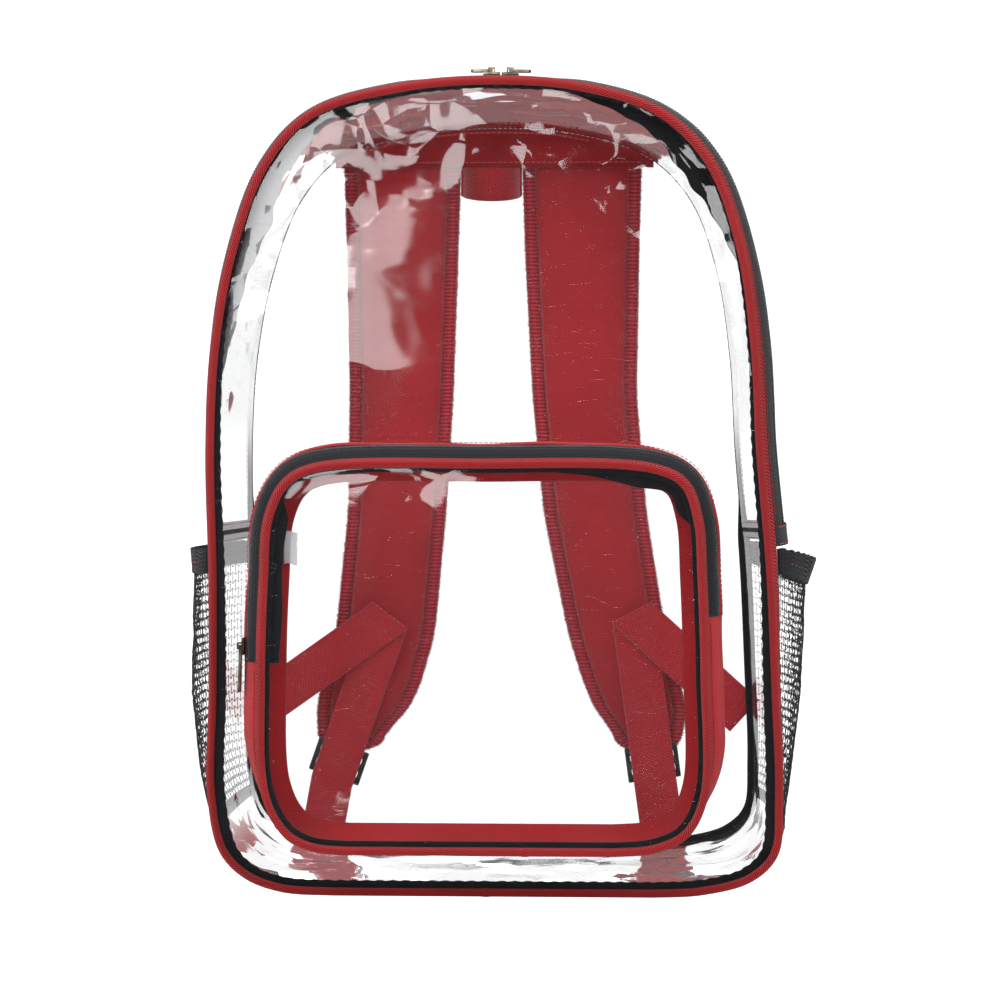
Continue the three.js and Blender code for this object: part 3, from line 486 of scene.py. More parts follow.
@dataclass
class Seam:
    """A seam that runs round an outline, and the surfaces that start from it and run back.

    A share of the seam is counted from its bottom middle up the right side.
    """

    rows: tuple
    width: float
    height: float
    depth: float
    narrowing: float
    place: Vector
    swell: Callable[[Array, Array], Array]
    curve: Array = field(init=False)
    outward: Array = field(init=False)
    shares: Array = field(init=False)
    length: float = field(init=False)

    def __post_init__(self) -> None:
        """Samples the smooth closed curve through the outline's rows."""
        half = self.width / 2
        right = [(row[2] * half, row[0] * self.height) for row in self.rows]
        left = [(-row[1] * half, row[0] * self.height) for row in self.rows]
        knots = np.array([(0.0, 0.0), *right, (0.0, self.height), *reversed(left)])
        steps = np.linspace(0, 1, 49)[:-1]
        parts, slopes = [], []
        for i in range(len(knots)):
            p0, p1, p2, p3 = (knots[(i + k) % len(knots)] for k in (-1, 0, 1, 2))
            spans = [np.sum((b - a) ** 2) ** 0.25 for a, b in ((p0, p1), (p1, p2), (p2, p3))]
            d0, d1, d2 = spans
            t1 = d1 * ((p1 - p0) / d0 - (p2 - p0) / (d0 + d1) + (p2 - p1) / d1)
            t2 = d1 * ((p2 - p1) / d1 - (p3 - p1) / (d1 + d2) + (p3 - p2) / d2)
            t = steps[:, None]
            c2, c3 = -3 * p1 + 3 * p2 - 2 * t1 - t2, 2 * p1 - 2 * p2 + t1 + t2
            parts.append(p1 + t1 * t + c2 * t**2 + c3 * t**3)
            slopes.append(t1 + 2 * c2 * t + 3 * c3 * t**2)
        curve, slope = np.concatenate(parts), np.concatenate(slopes)
        normal = np.stack([slope[:, 1], -slope[:, 0]], axis=1)
        normal /= np.linalg.norm(normal, axis=1)[:, None]
        low = curve[:, 1] <= 0
        curve[low, 1] = 0
        normal[low] = (0, -1)
        self.curve = np.vstack([curve, curve[:1]])
        self.outward = np.vstack([normal, normal[:1]])
        along = run_along(self.curve)
        self.length = float(along[-1])
        self.shares = along / self.length

    def frame(self, share: Array) -> tuple[Array, Array]:
        """Points of the seam and its outward directions, as X and Z.

        Args:
            share: of the seam.

        Returns:
            The points and the directions, one a row.
        """
        at = np.mod(share, 1.0)
        point, out = (read_line(at, self.shares, part) for part in (self.curve, self.outward))
        return point, out / np.linalg.norm(out, axis=-1)[..., None]

    def at(self, share: Array, out: Array, back: Array) -> Array:
        """Places that lie outside the seam and behind it.

        Args:
            share: of the seam.
            out: metres outside it.
            back: metres behind it.

        Returns:
            One point a row.
        """
        share, out, back = np.broadcast_arrays(share, out, back)
        point, outward = self.frame(share)
        deep = np.clip(back / self.depth, 0, 1)
        stand = out + self.swell(point, deep)
        flat = point * (1 - self.narrowing * deep)[..., None] + outward * stand[..., None]
        return np.stack([flat[..., 0], back, flat[..., 1]], axis=-1) + np.array(self.place)

    def rise(self, height: float, side: Side) -> float:
        """The share at which the seam reaches a height on one side.

        Args:
            height: in metres.
            side: of the bag.

        Returns:
            The share of the seam.
        """
        top = int(np.argmax(self.curve[:, 1]))
        if side is Side.RIGHT:
            return float(np.interp(height, self.curve[:top, 1], self.shares[:top]))
        return float(np.interp(height, self.curve[:top:-1, 1], self.shares[:top:-1]))

    def crown(self, x: float) -> float:
        """The share at which the top of the seam crosses a place along X."""
        top = (self.shares > 0.4) & (self.shares < 0.6)
        return float(np.interp(-x, -self.curve[top, 0], self.shares[top]))

    def steps(self, start: float, end: float, longest: float) -> int:
        """Faces between two shares when none is longer than longest."""
        return max(2, math.ceil((end - start) * self.length / longest))

    def sweep(
        self, start: float, end: float, section: Array, step: float, warp: Warp | None = None
    ) -> Shape:
        """A closed section carried along the seam.

        Args:
            start: share at which it starts.
            end: share at which it ends, start + 1 for the whole round.
            section: pairs of out and back, the first repeated at the end.
            step: the longest face along it.
            warp: moves out and back, given the share too.

        Returns:
            The closed piece.
        """
        def place(along: Array, girth: Array) -> Array:
            """A point of the swept piece."""
            out, back = round_girth(section, girth).T
            share = start + (end - start) * along
            if warp is not None:
                out, back = warp(share, out, back)
            return self.at(share, out, back)

        size = ((end - start) * self.length, float(run_along(section)[-1]))
        bm = laid(self.steps(start, end, step), len(section) - 1, place, size)
        if end - start < 1:
            close_ends(bm)
        return bm

    def sleeve(self, start: float, length: float, radius: float, swell: float) -> Shape:
        """A short sleeve drawn over the cord that lies on the seam.

        Args:
            start: share at which it starts.
            length: of the sleeve in metres.
            radius: of the cord.
            swell: how far its middle stands out past its ends, as a share of the radius.

        Returns:
            The closed sleeve.
        """
        end = start + length / self.length

        def snug(share: Array, out: Array, back: Array) -> tuple[Array, Array]:
            """Draws the sleeve in at its ends."""
            middle = np.clip(np.minimum(share - start, end - share) / (end - start) * 8, 0, 1)
            size = 0.9 + swell * np.sqrt(middle)
            return out * size, back * size

        return self.sweep(start, end, round_section(radius, 16), 0.0005, snug)


@dataclass
class Layout:
    """The bag's driving sizes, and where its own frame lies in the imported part's frame."""

    width: float = 0.298
    height: float = 0.423
    depth: float = 0.132
    narrowing: float = 0.015
    vinyl: float = 0.001
    cloth: float = 0.001
    swell: float = 0.013
    zip_roll: float = 0.0019
    piping: float = 0.0022
    binding: float = 0.006
    rear_binding: float = 0.005
    rear_flange: float = 0.0035
    zip_end: float = 0.187
    tape: float = 0.0135
    coil: float = 0.006
    cross_binding: float = 0.011
    net_bottom: float = 0.03
    net_top: float = 0.171
    pocket_width: float = 0.226
    pocket_height: float = 0.198
    pocket_depth: float = 0.028
    pocket_shift: float = -0.004
    pocket_base: float = 0.027
    pocket_swell: float = 0.013
    pocket_foot_swell: float = 0.004
    pocket_inset: float = 0.009
    haul_shift: float = -0.0049
    shift: Vector = field(init=False)
    bag: Seam = field(init=False)
    pocket: Seam = field(init=False)

    def __post_init__(self) -> None:
        """Reads the frame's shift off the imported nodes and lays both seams."""
        low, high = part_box("front_piping")
        loop_low, loop_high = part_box("haul_loop")
        middle = (loop_low.x + loop_high.x) / 2 - self.haul_shift
        self.shift = Vector((middle, (low.y + high.y) / 2, low.z + self.piping))
        self.bag = Seam(
            BAG_OUTLINE, self.width, self.height, self.depth, self.narrowing, self.shift, self.bag_swell
        )
        front = -self.pocket_depth - self.vinyl / 2 - CLEARANCE
        self.pocket = Seam(
            POCKET_OUTLINE,
            self.pocket_width,
            self.pocket_height,
            self.pocket_depth,
            0.0,
            self.shift + Vector((self.pocket_shift, front, self.pocket_base)),
            self.pocket_stand,
        )

    def bag_swell(self, point: Array, deep: Array) -> Array:
        """How far the gusset stands outside its seams.

        Args:
            point: X and Z on the seam.
            deep: share of the depth.

        Returns:
            Metres outside the seam.
        """
        up = point[..., 1] / self.height
        left, right = (column(BAG_SWELL, up, k) for k in (1, 2))
        most = self.swell * np.where(point[..., 0] < 0, left, right)
        aside = smoothstep(0.022, 0.05, np.abs(point[..., 0]))
        roll = smoothstep(0.55, 0.75, up) * aside * self.zip_roll
        return most * np.sin(math.pi * deep**0.6) + roll * np.exp(-(((deep - 0.13) / 0.08) ** 2))

    def pocket_stand(self, point: Array, deep: Array) -> Array:
        """How far the pocket's gusset stands outside its front seam.

        Args:
            point: X and Z on the seam.
            deep: share of the depth.

        Returns:
            Metres outside the seam.
        """
        grown = smoothstep(0.02, 0.3, point[..., 1] / self.pocket_height)
        most = self.pocket_foot_swell + (self.pocket_swell - self.pocket_foot_swell) * grown
        facing = 0.003 * grown * np.sin(math.pi * np.clip((deep - 0.43) / 0.57, 0, 1) ** 0.6)
        return most * np.sin(math.pi * deep) - self.pocket_inset * deep + facing

    def world(self, x: float, y: float, z: float) -> Vector:
        """A place of the bag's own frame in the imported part's frame."""
        return self.shift + Vector((x, y, z))

    @property
    def rim(self) -> float:
        """Where the clear front ends inside the piping."""
        return -self.piping - CLEARANCE

    @property
    def gusset_front(self) -> float:
        """The depth at which the gusset starts."""
        return self.piping + CLEARANCE

    @property
    def gusset_back(self) -> float:
        """The depth at which the gusset ends."""
        return self.depth - self.piping - CLEARANCE

    @property
    def rear_leg(self) -> float:
        """The depth at which the rear binding starts."""
        return self.depth - self.rear_binding

    @property
    def coil_front(self) -> float:
        """The depth at which the main zip's coil starts."""
        return self.gusset_front + self.tape + CLEARANCE

    @property
    def coil_back(self) -> float:
        """The depth at which the main zip's coil ends."""
        return self.coil_front + self.coil

    @property
    def rear_tape(self) -> float:
        """The depth at which the zip's rear tape ends."""
        return self.coil_back + CLEARANCE + self.tape

    @property
    def back_rear(self) -> float:
        """The depth of the back panel's rear face."""
        return self.depth + self.vinyl / 2

    @property
    def strap_plane(self) -> float:
        """The depth from which the straps stand off the back."""
        return self.back_rear + 2 * CLEARANCE + self.cloth


# Finishes


class Nodes:
    """A short way to build a material's nodes."""

    def __init__(self, name: str) -> None:
        """Starts an empty material of that name."""
        self.material = bpy.data.materials.new(name)
        self.material.use_nodes = True
        self.tree = self.material.node_tree
        self.tree.nodes.clear()

    def add(self, kind: str, inputs: dict | None = None, **settings: object) -> bpy.types.Node:
        """Adds a node.

        Args:
            kind: its type without the leading ShaderNode.
            inputs: values or sockets for its inputs, by name or number.
            settings: its own properties.

        Returns:
            The node.
        """
        node = self.tree.nodes.new("ShaderNode" + kind)
        for name, value in settings.items():
            setattr(node, name, value)
        for key, value in (inputs or {}).items():
            if isinstance(value, Socket):
                self.tree.links.new(value, node.inputs[key])
            else:
                node.inputs[key].default_value = value
        return node

    def sum(self, kind: str, *values: object) -> Socket:
        """A Math node's value."""
        return self.add("Math", dict(enumerate(values)), operation=kind).outputs[0]

    def noise(self, where: object, scale: float, detail: float = 3.0, **more: object) -> object:
        """A Noise Texture's value."""
        inputs = {"Vector": where, "Scale": scale, "Detail": detail}
        return self.add("TexNoise", inputs, **more).outputs[0]

    def span(self, value: object, low: float, high: float, start: float, end: float) -> object:
        """A value moved from the range low to high into start to end."""
        inputs = {0: value, 1: low, 2: high, 3: start, 4: end}
        return self.add("MapRange", inputs).outputs[0]

    def blend(self, share: object, first: tuple, second: tuple) -> Socket:
        """A colour between two."""
        inputs = {0: share, 6: (*first, 1.0), 7: (*second, 1.0)}
        return self.add("Mix", inputs, data_type="RGBA").outputs[2]

    def bump(self, height: object, depth: float, strength: float = 1.0) -> Socket:
        """The normal of a relief of that depth in metres."""
        inputs = {"Height": height, "Distance": depth, "Strength": strength}
        return self.add("Bump", inputs).outputs[0]

    def end(self, shader: Socket) -> Material:
        """Ends the material in this shader."""
        self.add("OutputMaterial", {"Surface": shader})
        return self.material


@dataclass(frozen=True)
class ClothFinish:
    """Woven cloth whose threads follow the piece's own map."""

    name: str
    color: tuple[float, float, float]
    weave: Weave
    thread: float
    relief: float = 0.00012
    sheen: float = 0.25
    roughness: float = 0.82
    wear: float = 0.25
    # depth: share of the colour left in the weave's hollows, the strength of their painted shade.
    depth: float = 0.5

    def build(self) -> Material:
        """Makes the material and returns it."""
        n = Nodes(self.name)
        weave = n.add("UVMap", uv_map="weave").outputs[0]
        split = n.add("SeparateXYZ", {0: weave})
        turn = 2 * math.pi / self.thread
        u = n.sum("MULTIPLY", split.outputs[0], turn)
        v = n.sum("MULTIPLY", split.outputs[1], turn)
        if self.weave is Weave.PLAIN:
            threads = n.sum("MULTIPLY", n.sum("SINE", u), n.sum("SINE", v))
        elif self.weave is Weave.TWILL:
            slant = n.sum("ADD", n.sum("MULTIPLY", u, 0.75), v)
            across = n.sum("SINE", n.sum("SUBTRACT", n.sum("MULTIPLY", u, 2.0), v))
            threads = n.sum("ADD", n.sum("SINE", slant), n.sum("MULTIPLY", across, 0.3))
        else:
            threads = n.sum("ADD", n.sum("SINE", u), n.sum("MULTIPLY", n.sum("SINE", v), 0.35))
        object_place = n.add("TexCoord").outputs["Object"]
        lint = n.noise(object_place, 900.0, 4.0)
        patches = n.noise(object_place, 22.0, 3.0)
        # The colour follows the threads: painted shade in the hollows between them, painted highlight on
        # their crests; the noise patches darken it at random like wear.
        shade = n.span(threads, -1.0, 1.0, 0.0, 1.0)
        wear_and_thread_shade = n.sum("MULTIPLY", n.span(patches, 0.3, 0.7, 1.0 - self.wear, 1.0), shade)
        dark = tuple(c * self.depth for c in self.color)
        light = tuple(min(1.0, c * 1.25 + 0.006) for c in self.color)
        relief = n.sum("ADD", threads, n.sum("MULTIPLY", lint, 1.2))
        shader = n.add(
            "BsdfPrincipled",
            {
                "Base Color": n.blend(wear_and_thread_shade, dark, light),
                "Roughness": self.roughness,
                "Specular IOR Level": 0.15,
                "Sheen Weight": self.sheen,
                "Sheen Roughness": 0.4,
                "Normal": n.bump(relief, self.relief),
            },
        )
        return n.end(shader.outputs[0])


@dataclass(frozen=True)
class VinylFinish:
    """Clear flexible sheet: what is behind it shows, and its creases catch the light."""

    name: str
    tint: tuple[float, float, float] = (0.985, 0.988, 0.99)
    gloss: float = 1.35
    panes: float = 24.0
    shards: float = 85.0
    pane_tilt: float = 0.0045
    shard_tilt: float = 0.0028
    wave: float = 0.0022

    def facets(self, n: Nodes, where: object, scale: float) -> Socket:
        """A relief of flat facets that each tilt their own way, one unit a facet.

        Args:
            n: the material's nodes.
            where: socket of the place.
            scale: facets a metre.

        Returns:
            The relief's socket.
        """
        cells = n.add("TexVoronoi", {"Vector": where, "Scale": scale, "Randomness": 1.0})
        tilt = n.add("VectorMath", {0: cells.outputs["Color"], 1: (0.5, 0.5, 0.5)}, operation="SUBTRACT")
        offset = n.add("VectorMath", {0: where, 1: cells.outputs["Position"]}, operation="SUBTRACT")
        slope = n.add("VectorMath", {0: tilt.outputs[0], 1: offset.outputs[0]}, operation="DOT_PRODUCT")
        return n.sum("MULTIPLY", slope.outputs["Value"], scale)

    def build(self) -> Material:
        """Makes the material and returns it."""
        n = Nodes(self.name)
        place = n.add("TexCoord").outputs["Object"]
        bend = n.add("TexNoise", {"Vector": place, "Scale": 14.0, "Detail": 2.0}).outputs["Color"]
        drift = n.add("VectorMath", {0: bend, 1: (0.03, 0.03, 0.03)}, operation="MULTIPLY").outputs[0]
        bent = n.add("VectorMath", {0: place, 1: drift}, operation="ADD").outputs[0]
        turned = n.add(
            "Mapping", {"Vector": bent, "Rotation": (0.0, 0.7, 0.0), "Scale": (0.45, 1.0, 1.0)}
        ).outputs[0]
        amount = n.add("Attribute", attribute_name="crease").outputs["Fac"]
        panes = n.sum("MULTIPLY", self.facets(n, turned, self.panes), self.pane_tilt)
        shards = n.sum("MULTIPLY", self.facets(n, turned, self.shards), self.shard_tilt)
        waves = n.sum("MULTIPLY", n.noise(bent, 9.0, 2.0), self.wave)
        height = n.sum("ADD", waves, n.sum("MULTIPLY", panes, n.span(amount, 0.0, 1.0, 0.34, 1.0)))
        height = n.sum("ADD", height, n.sum("MULTIPLY", shards, n.sum("POWER", amount, 1.6)))
        normal = n.bump(height, 1.0)
        edge = n.add("Fresnel", {"IOR": 1.5, "Normal": normal}).outputs[0]
        most = n.span(amount, 0.15, 0.9, 0.32, 0.92)
        share = n.sum("MINIMUM", n.sum("MULTIPLY", edge, self.gloss), most)
        clear = n.add("BsdfTransparent", {"Color": (*self.tint, 1.0)}).outputs[0]
        shine = n.add(
            "BsdfAnisotropic", {"Color": (1.0, 1.0, 1.0, 1.0), "Roughness": 0.07, "Normal": normal}
        ).outputs[0]
        return n.end(n.add("MixShader", {0: share, 1: clear, 2: shine}).outputs[0])


@dataclass(frozen=True)
class HardFinish:
    """Moulded plastic or plated metal."""

    name: str
    color: tuple[float, float, float]
    metal: float = 0.0
    roughness: float = 0.35
    worn: tuple[float, float, float] = (0.03, 0.03, 0.032)
    grain: float = 700.0
    relief: float = 0.00002

    def build(self) -> Material:
        """Makes the material and returns it."""
        n = Nodes(self.name)
        place = n.add("TexCoord").outputs["Object"]
        patches = n.noise(place, self.grain / 4, 4.0)
        marks = n.noise(place, self.grain, 2.0)
        rough = n.span(patches, 0.3, 0.7, self.roughness * 0.75, min(1.0, self.roughness * 1.4))
        shader = n.add(
            "BsdfPrincipled",
            {
                "Base Color": n.blend(n.span(patches, 0.4, 0.7, 0.0, 1.0), self.color, self.worn),
                "Metallic": self.metal,
                "Roughness": rough,
                "Normal": n.bump(marks, self.relief),
            },
        )
        return n.end(shader.outputs[0])


@dataclass(frozen=True)
class LabelFinish:
    """Thin translucent cloth of a blank label."""

    name: str = "Blank label"

    def build(self) -> Material:
        """Makes the material and returns it."""
        n = Nodes(self.name)
        place = n.add("TexCoord").outputs["Object"]
        threads = n.noise(place, 1500.0, 2.0)
        shader = n.add(
            "BsdfPrincipled",
            {
                "Base Color": n.blend(threads, (0.62, 0.63, 0.66), (0.8, 0.81, 0.83)),
                "Roughness": 0.6,
                "Alpha": 0.55,
                "Normal": n.bump(threads, 0.00005),
            },
        )
        return n.end(shader.outputs[0])


RED = (0.34, 0.0075, 0.011)
BLACK = (0.008, 0.009, 0.012)
DARK = (0.01, 0.01, 0.012)


def made(finish: ClothFinish | VinylFinish | HardFinish | LabelFinish) -> Material:
    """A field of the palette that builds this finish."""
    return field(default_factory=finish.build)


@dataclass
class Palette:
    """Every finish of the bag, built once."""

    vinyl: Material = made(VinylFinish("Clear vinyl"))
    piping: Material = made(
        ClothFinish("Red piping twill", RED, Weave.TWILL, 0.0014, 0.0003, sheen=0.08, depth=0.3)
    )
    pocket_cloth: Material = made(
        ClothFinish("Red pocket cloth", (0.37, 0.009, 0.013), Weave.TWILL, 0.0008, sheen=0.1)
    )
    strap: Material = made(
        ClothFinish("Red strap cloth", (0.46, 0.022, 0.03), Weave.PLAIN, 0.0013, wear=0.35, sheen=0.22)
    )
    fluff: Material = made(
        ClothFinish("Red brushed edge", (0.42, 0.026, 0.04), Weave.RIB, 0.0022, 0.0003, sheen=0.45)
    )
    webbing: Material = made(
        ClothFinish("Red webbing", (0.4, 0.02, 0.028), Weave.PLAIN, 0.0019, 0.0002, sheen=0.35, depth=0.75)
    )
    red_thread: Material = made(ClothFinish("Red thread", RED, Weave.RIB, 0.0005))
    pale_thread: Material = made(ClothFinish("Light red thread", (0.6, 0.07, 0.08), Weave.RIB, 0.0005))
    dark_thread: Material = made(ClothFinish("Dark red thread", (0.2, 0.008, 0.014), Weave.RIB, 0.0005))
    binding: Material = made(ClothFinish("Black binding", BLACK, Weave.PLAIN, 0.0009, sheen=0.12))
    tape: Material = made(ClothFinish("Black zip tape", BLACK, Weave.RIB, 0.0007, sheen=0.1))
    # Grey cloth for the black tape behind the film: the grey is a painted reflection of the film's glare,
    # not the tape's own colour.
    tape_with_painted_reflection: Material = made(
        ClothFinish(
            "Black tape under film", (0.26, 0.265, 0.275), Weave.PLAIN, 0.004, 0.00002, wear=0.12, depth=0.9
        )
    )
    elastic: Material = made(ClothFinish("Black elastic", BLACK, Weave.PLAIN, 0.0008, sheen=0.1))
    net: Material = made(HardFinish("Black net yarn", DARK, roughness=0.6))
    coil: Material = made(HardFinish("Nylon coil", (0.05, 0.052, 0.058), roughness=0.22))
    plastic: Material = made(HardFinish("Black plastic", DARK, roughness=0.32))
    nickel: Material = made(
        HardFinish("Antique nickel", (0.2, 0.16, 0.12), 1.0, 0.3, (0.5, 0.44, 0.36), 500.0)
    )
    label: Material = made(LabelFinish())


# Threads


@dataclass(frozen=True)
class Stitching:
    """A row of thread stitches."""

    pitch: float = 0.003
    length: float = 0.0023
    radius: float = 0.00024

    def along(self, rows: list[Array], name: str, material: Material, slot: str = "red_twill") -> None:
        """Sews along each row, all as one piece.

        Args:
            rows: the points of each row.
            name: the piece's name.
            material: the thread's finish.
            slot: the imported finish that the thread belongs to.
        """
        bm = bmesh.new()
        for row in rows:
            run = run_along(row)
            starts = np.arange(self.pitch / 2, run[-1] - self.length, self.pitch)
            ends = [read_line(starts + more, run, row) for more in (0.0, self.length)]
            for a, b in zip(*ends):
                along = Vector(b - a)
                turn = along.to_track_quat("Z", "Y").to_matrix().to_4x4()
                bmesh.ops.create_cone(
                    bm,
                    cap_ends=True,
                    segments=6,
                    radius1=self.radius,
                    radius2=self.radius,
                    depth=along.length,
                    matrix=Matrix.Translation(Vector(a + b) / 2) @ turn,
                )
        bm.loops.layers.uv.new("weave")
        dressed(bm, name, material, slot)


@dataclass(frozen=True)
class Coil:
    """The interlocked teeth of a nylon zip, between two depths of a seam."""

    pitch: float = 0.0016
    reach: float = 0.62
    tooth: float = 0.0008
    height: float = 0.0013

    def run(self, seam: Seam, start: float, end: float, front: float, back: float) -> Shape:
        """Sets the teeth of both halves.

        Args:
            seam: the zip follows it.
            start: share at which it starts.
            end: share at which it ends.
            front: depth of the front row's outer end.
            back: depth of the rear row's outer end.

        Returns:
            The teeth.
        """
        count = int((end - start) * seam.length / self.pitch)
        shares = start + (end - start) * (np.arange(count) + 0.5) / count
        half = 0.25 * (end - start) / count
        width = (back - front) * self.reach
        bm = bmesh.new()
        for shift, middle in ((-half, front + width / 2), (half, back - width / 2)):
            places = seam.at(shares + shift, 0.0, middle)
            aheads = seam.at(shares + shift + half, 0.0, middle)
            _, outs = seam.frame(shares + shift)
            for place, ahead, out in zip(places, aheads, outs):
                up = Vector((out[0], 0, out[1]))
                along = Vector(ahead - place).normalized()
                across = up.cross(along).normalized()
                turn = Matrix((along, across, up)).transposed().to_4x4()
                size = Matrix.Diagonal((self.tooth, width, self.height, 1.0))
                bmesh.ops.create_cube(bm, matrix=Matrix.Translation(place) @ turn @ size)
        bmesh.ops.bevel(
            bm,
            geom=list(bm.edges),
            affect="EDGES",
            offset=self.tooth * 0.3,
            offset_type="OFFSET",
            segments=1,
            profile=0.5,
            material=-1,
        )
        bm.loops.layers.uv.new("weave")
        return bm


# Main compartment


@dataclass
class Crinkles:
    """How creased a clear sheet is, and where."""

    size: float = 0.034
    height: float = 0.0016
    seed: float = 1.0

    def shift(self, points: Array, amount: Array) -> Array:
        """How far each point moves off the smooth sheet.

        Args:
            points: one a row.
            amount: share of the full creasing.

        Returns:
            Metres, one a point.
        """
        big = ripple(points, self.size, self.seed, ridged=True)
        fine = ripple(points, self.size * 0.4, self.seed + 3)
        return self.height * amount * (big + 0.35 * fine)


@dataclass
class Compartment:
    """The main compartment: clear walls, piping, bindings and the main zip."""

    layout: Layout
    palette: Palette
    rim_rounds: int = 46
    step: float = 0.0032
    arch_start: float = 0.55
    arch_end: float = 0.8
    bulge: float = 0.0065
    back_bulge: float = 0.002
    # Place along X at the arch's top where the black run ends and the left run's painted reflection begins.
    painted_reflection_edge: float = -0.031
    patch_start: float = -0.0725
    patch_length: float = 0.011
    fold_depth: float = 0.006
    sleeve_place: float = -0.0031
    sleeve_length: float = 0.0045

    def build(self) -> None:
        """Makes every piece of the main compartment."""
        self.panels()
        self.gussets()
        self.pipings()
        self.bindings()
        self.zip()

    def disc(self, back: float, lift: Callable[[Array, Array], Array], name: str) -> Piece:
        """A clear sheet inside the seam's rim.

        Args:
            back: depth of its rim.
            lift: how far a point stands off that depth, given the points and their share from
                the centre, 1 at the rim.
            name: the piece's name.

        Returns:
            The sheet.
        """
        lay, seam = self.layout, self.layout.bag
        centre = np.array(lay.world(0, back, lay.height / 2))

        def place(around: Array, inwards: Array) -> Array:
            """A point of the sheet."""
            share = 1 - inwards**1.25
            rim = seam.at(around, lay.rim, back)
            points = centre + (rim - centre) * share[:, None]
            points[:, 1] += lift(points, share)
            return points

        columns = seam.steps(0, 1, self.step)
        bm = laid(columns, self.rim_rounds, place, (seam.length, lay.width / 2))
        return finished(bm, name, self.palette.vinyl)

    def creased(self, points: Array) -> Array:
        """Share of the full creasing of the front at each point.

        Args:
            points: one a row.

        Returns:
            One share a point.
        """
        lay = self.layout
        x, z = (points[:, k] - lay.shift[k] for k in (0, 2))
        ring = lay.bag.curve
        near = np.min(np.hypot(x[:, None] - ring[None, ::6, 0], z[:, None] - ring[None, ::6, 1]), axis=1)
        up = z / lay.height
        arch = smoothstep(self.arch_start, self.arch_end, up) * (1 - smoothstep(0.02, 0.09, near))
        foot = 1 - smoothstep(0.01, 0.045, z)
        side = 0.45 * (1 - smoothstep(0.004, 0.028, near))
        return np.clip(np.maximum(np.maximum(arch, foot), side) + 0.14, 0, 1)

    def panels(self) -> None:
        """The clear front and back."""
        lay = self.layout
        crinkles = Crinkles()

        def front_lift(points: Array, share: Array) -> Array:
            """How far the front stands off its rim."""
            above = points[:, 2] - lay.shift.z - lay.pocket_base - lay.pocket_height
            puff = self.bulge * smoothstep(0, lay.height / 5, above) * (1 - share**7)
            fade = smoothstep(0, 0.04, 1 - share)
            moved = crinkles.shift(points, self.creased(points)) * fade
            sag = 0.0012 * ripple(points, 0.11, 9.0) * fade
            return -puff - np.abs(moved) - sag

        def back_lift(points: Array, share: Array) -> Array:
            """How far the back stands off its rim."""
            fade = smoothstep(0, 0.06, 1 - share)
            waves = 0.0008 * ripple(points, 0.07, 4.0) * fade
            return -self.back_bulge * (1 - share**3) + waves - 0.0006

        sheets = (("front", 0.0, front_lift, 1.0), ("back", lay.depth, back_lift, 0.35))
        for word, depth, lift, most in sheets:
            piece = self.disc(depth, lift, f"clear_{word}")
            mark(piece, self.creased(places_of(piece)) * most)
            seat(piece, "clear_vinyl", f"{word}_panel")

    def gussets(self) -> None:
        """The clear walls between the front and the back, below and beside the zip."""
        lay, seam = self.layout, self.layout.bag
        right, left = seam.rise(lay.zip_end, Side.RIGHT), seam.rise(lay.zip_end, Side.LEFT)
        crinkles = Crinkles(size=0.045, height=0.0013, seed=5.0)
        runs = {
            "lower_gusset": (left + 0.001, 1 + right - 0.001, lay.gusset_front, lay.gusset_back),
            "upper_gusset": (right + 0.001, left - 0.001, lay.rear_tape - 0.004, lay.gusset_back),
        }
        for node, (start, end, front, back) in runs.items():

            def place(along: Array, across: Array) -> Array:
                """A point of the sheet."""
                share = start + (end - start) * along
                depth = front + (back - front) * across
                flat = seam.at(share, -lay.vinyl * 1.3, depth)
                edge = np.sin(math.pi * across) * np.clip(40 * np.minimum(along, 1 - along), 0, 1)
                out = -lay.vinyl * 1.3 - np.abs(crinkles.shift(flat, edge))
                return seam.at(share, out, depth)

            size = ((end - start) * seam.length, back - front)
            columns = seam.steps(start, end, self.step)
            bm = laid(columns, math.ceil(size[1] / self.step), place, size)
            piece = finished(bm, "clear_" + node, self.palette.vinyl)
            places = places_of(piece)
            low = 1 - smoothstep(0.01, 0.05, places[:, 2])
            arch = smoothstep(0.5, 0.62, (places[:, 2] - lay.shift.z) / lay.height)
            mark(piece, np.clip(0.18 + 0.77 * np.maximum(low, arch), 0, 1))
            seat(piece, "clear_vinyl", node)

    def pipings(self) -> None:
        """The red cord round the front and the sleeve over its join."""
        lay, seam = self.layout, self.layout.bag
        bm = seam.sweep(0, 1, round_section(lay.piping, 16), 0.0026)
        dressed(bm, "front_piping_cord", self.palette.piping, "red_twill", "front_piping")
        start = 1 + (self.sleeve_place - self.sleeve_length / 2) / seam.length
        bm = seam.sleeve(start, self.sleeve_length, lay.piping, 0.19)
        dressed(bm, "front_piping_join", self.palette.piping, "red_twill")

    def bindings(self) -> None:
        """The black bindings inside the front, round the back and at the zip's ends."""
        lay, seam = self.layout, self.layout.bag
        front = lay.vinyl / 2 + CLEARANCE
        inner = lay.rim - lay.binding

        def narrowed(share: Array, out: Array, back: Array) -> tuple[Array, Array]:
            """Narrows the binding and makes its edge uneven."""
            point, _ = seam.frame(share)
            width = column(BINDING_WIDTH, point[:, 1] / lay.height, 1)
            depth = np.clip((lay.rim - out) / lay.binding, 0, 1)
            ragged = 0.0003 * np.sin(share * seam.length / 0.0011)
            return np.where(depth > 0.3, lay.rim - (lay.rim - out) * width + ragged * depth, out), back

        edge = lay.rim + 0.0008
        section = strip_section(edge, edge - inner, front, front + lay.cloth, 0.002, 0.00045)
        bm = seam.sweep(0, 1, section, 0.002, narrowed)
        dressed(bm, "front_binding_band", self.palette.binding, "black_binding", "front_binding")

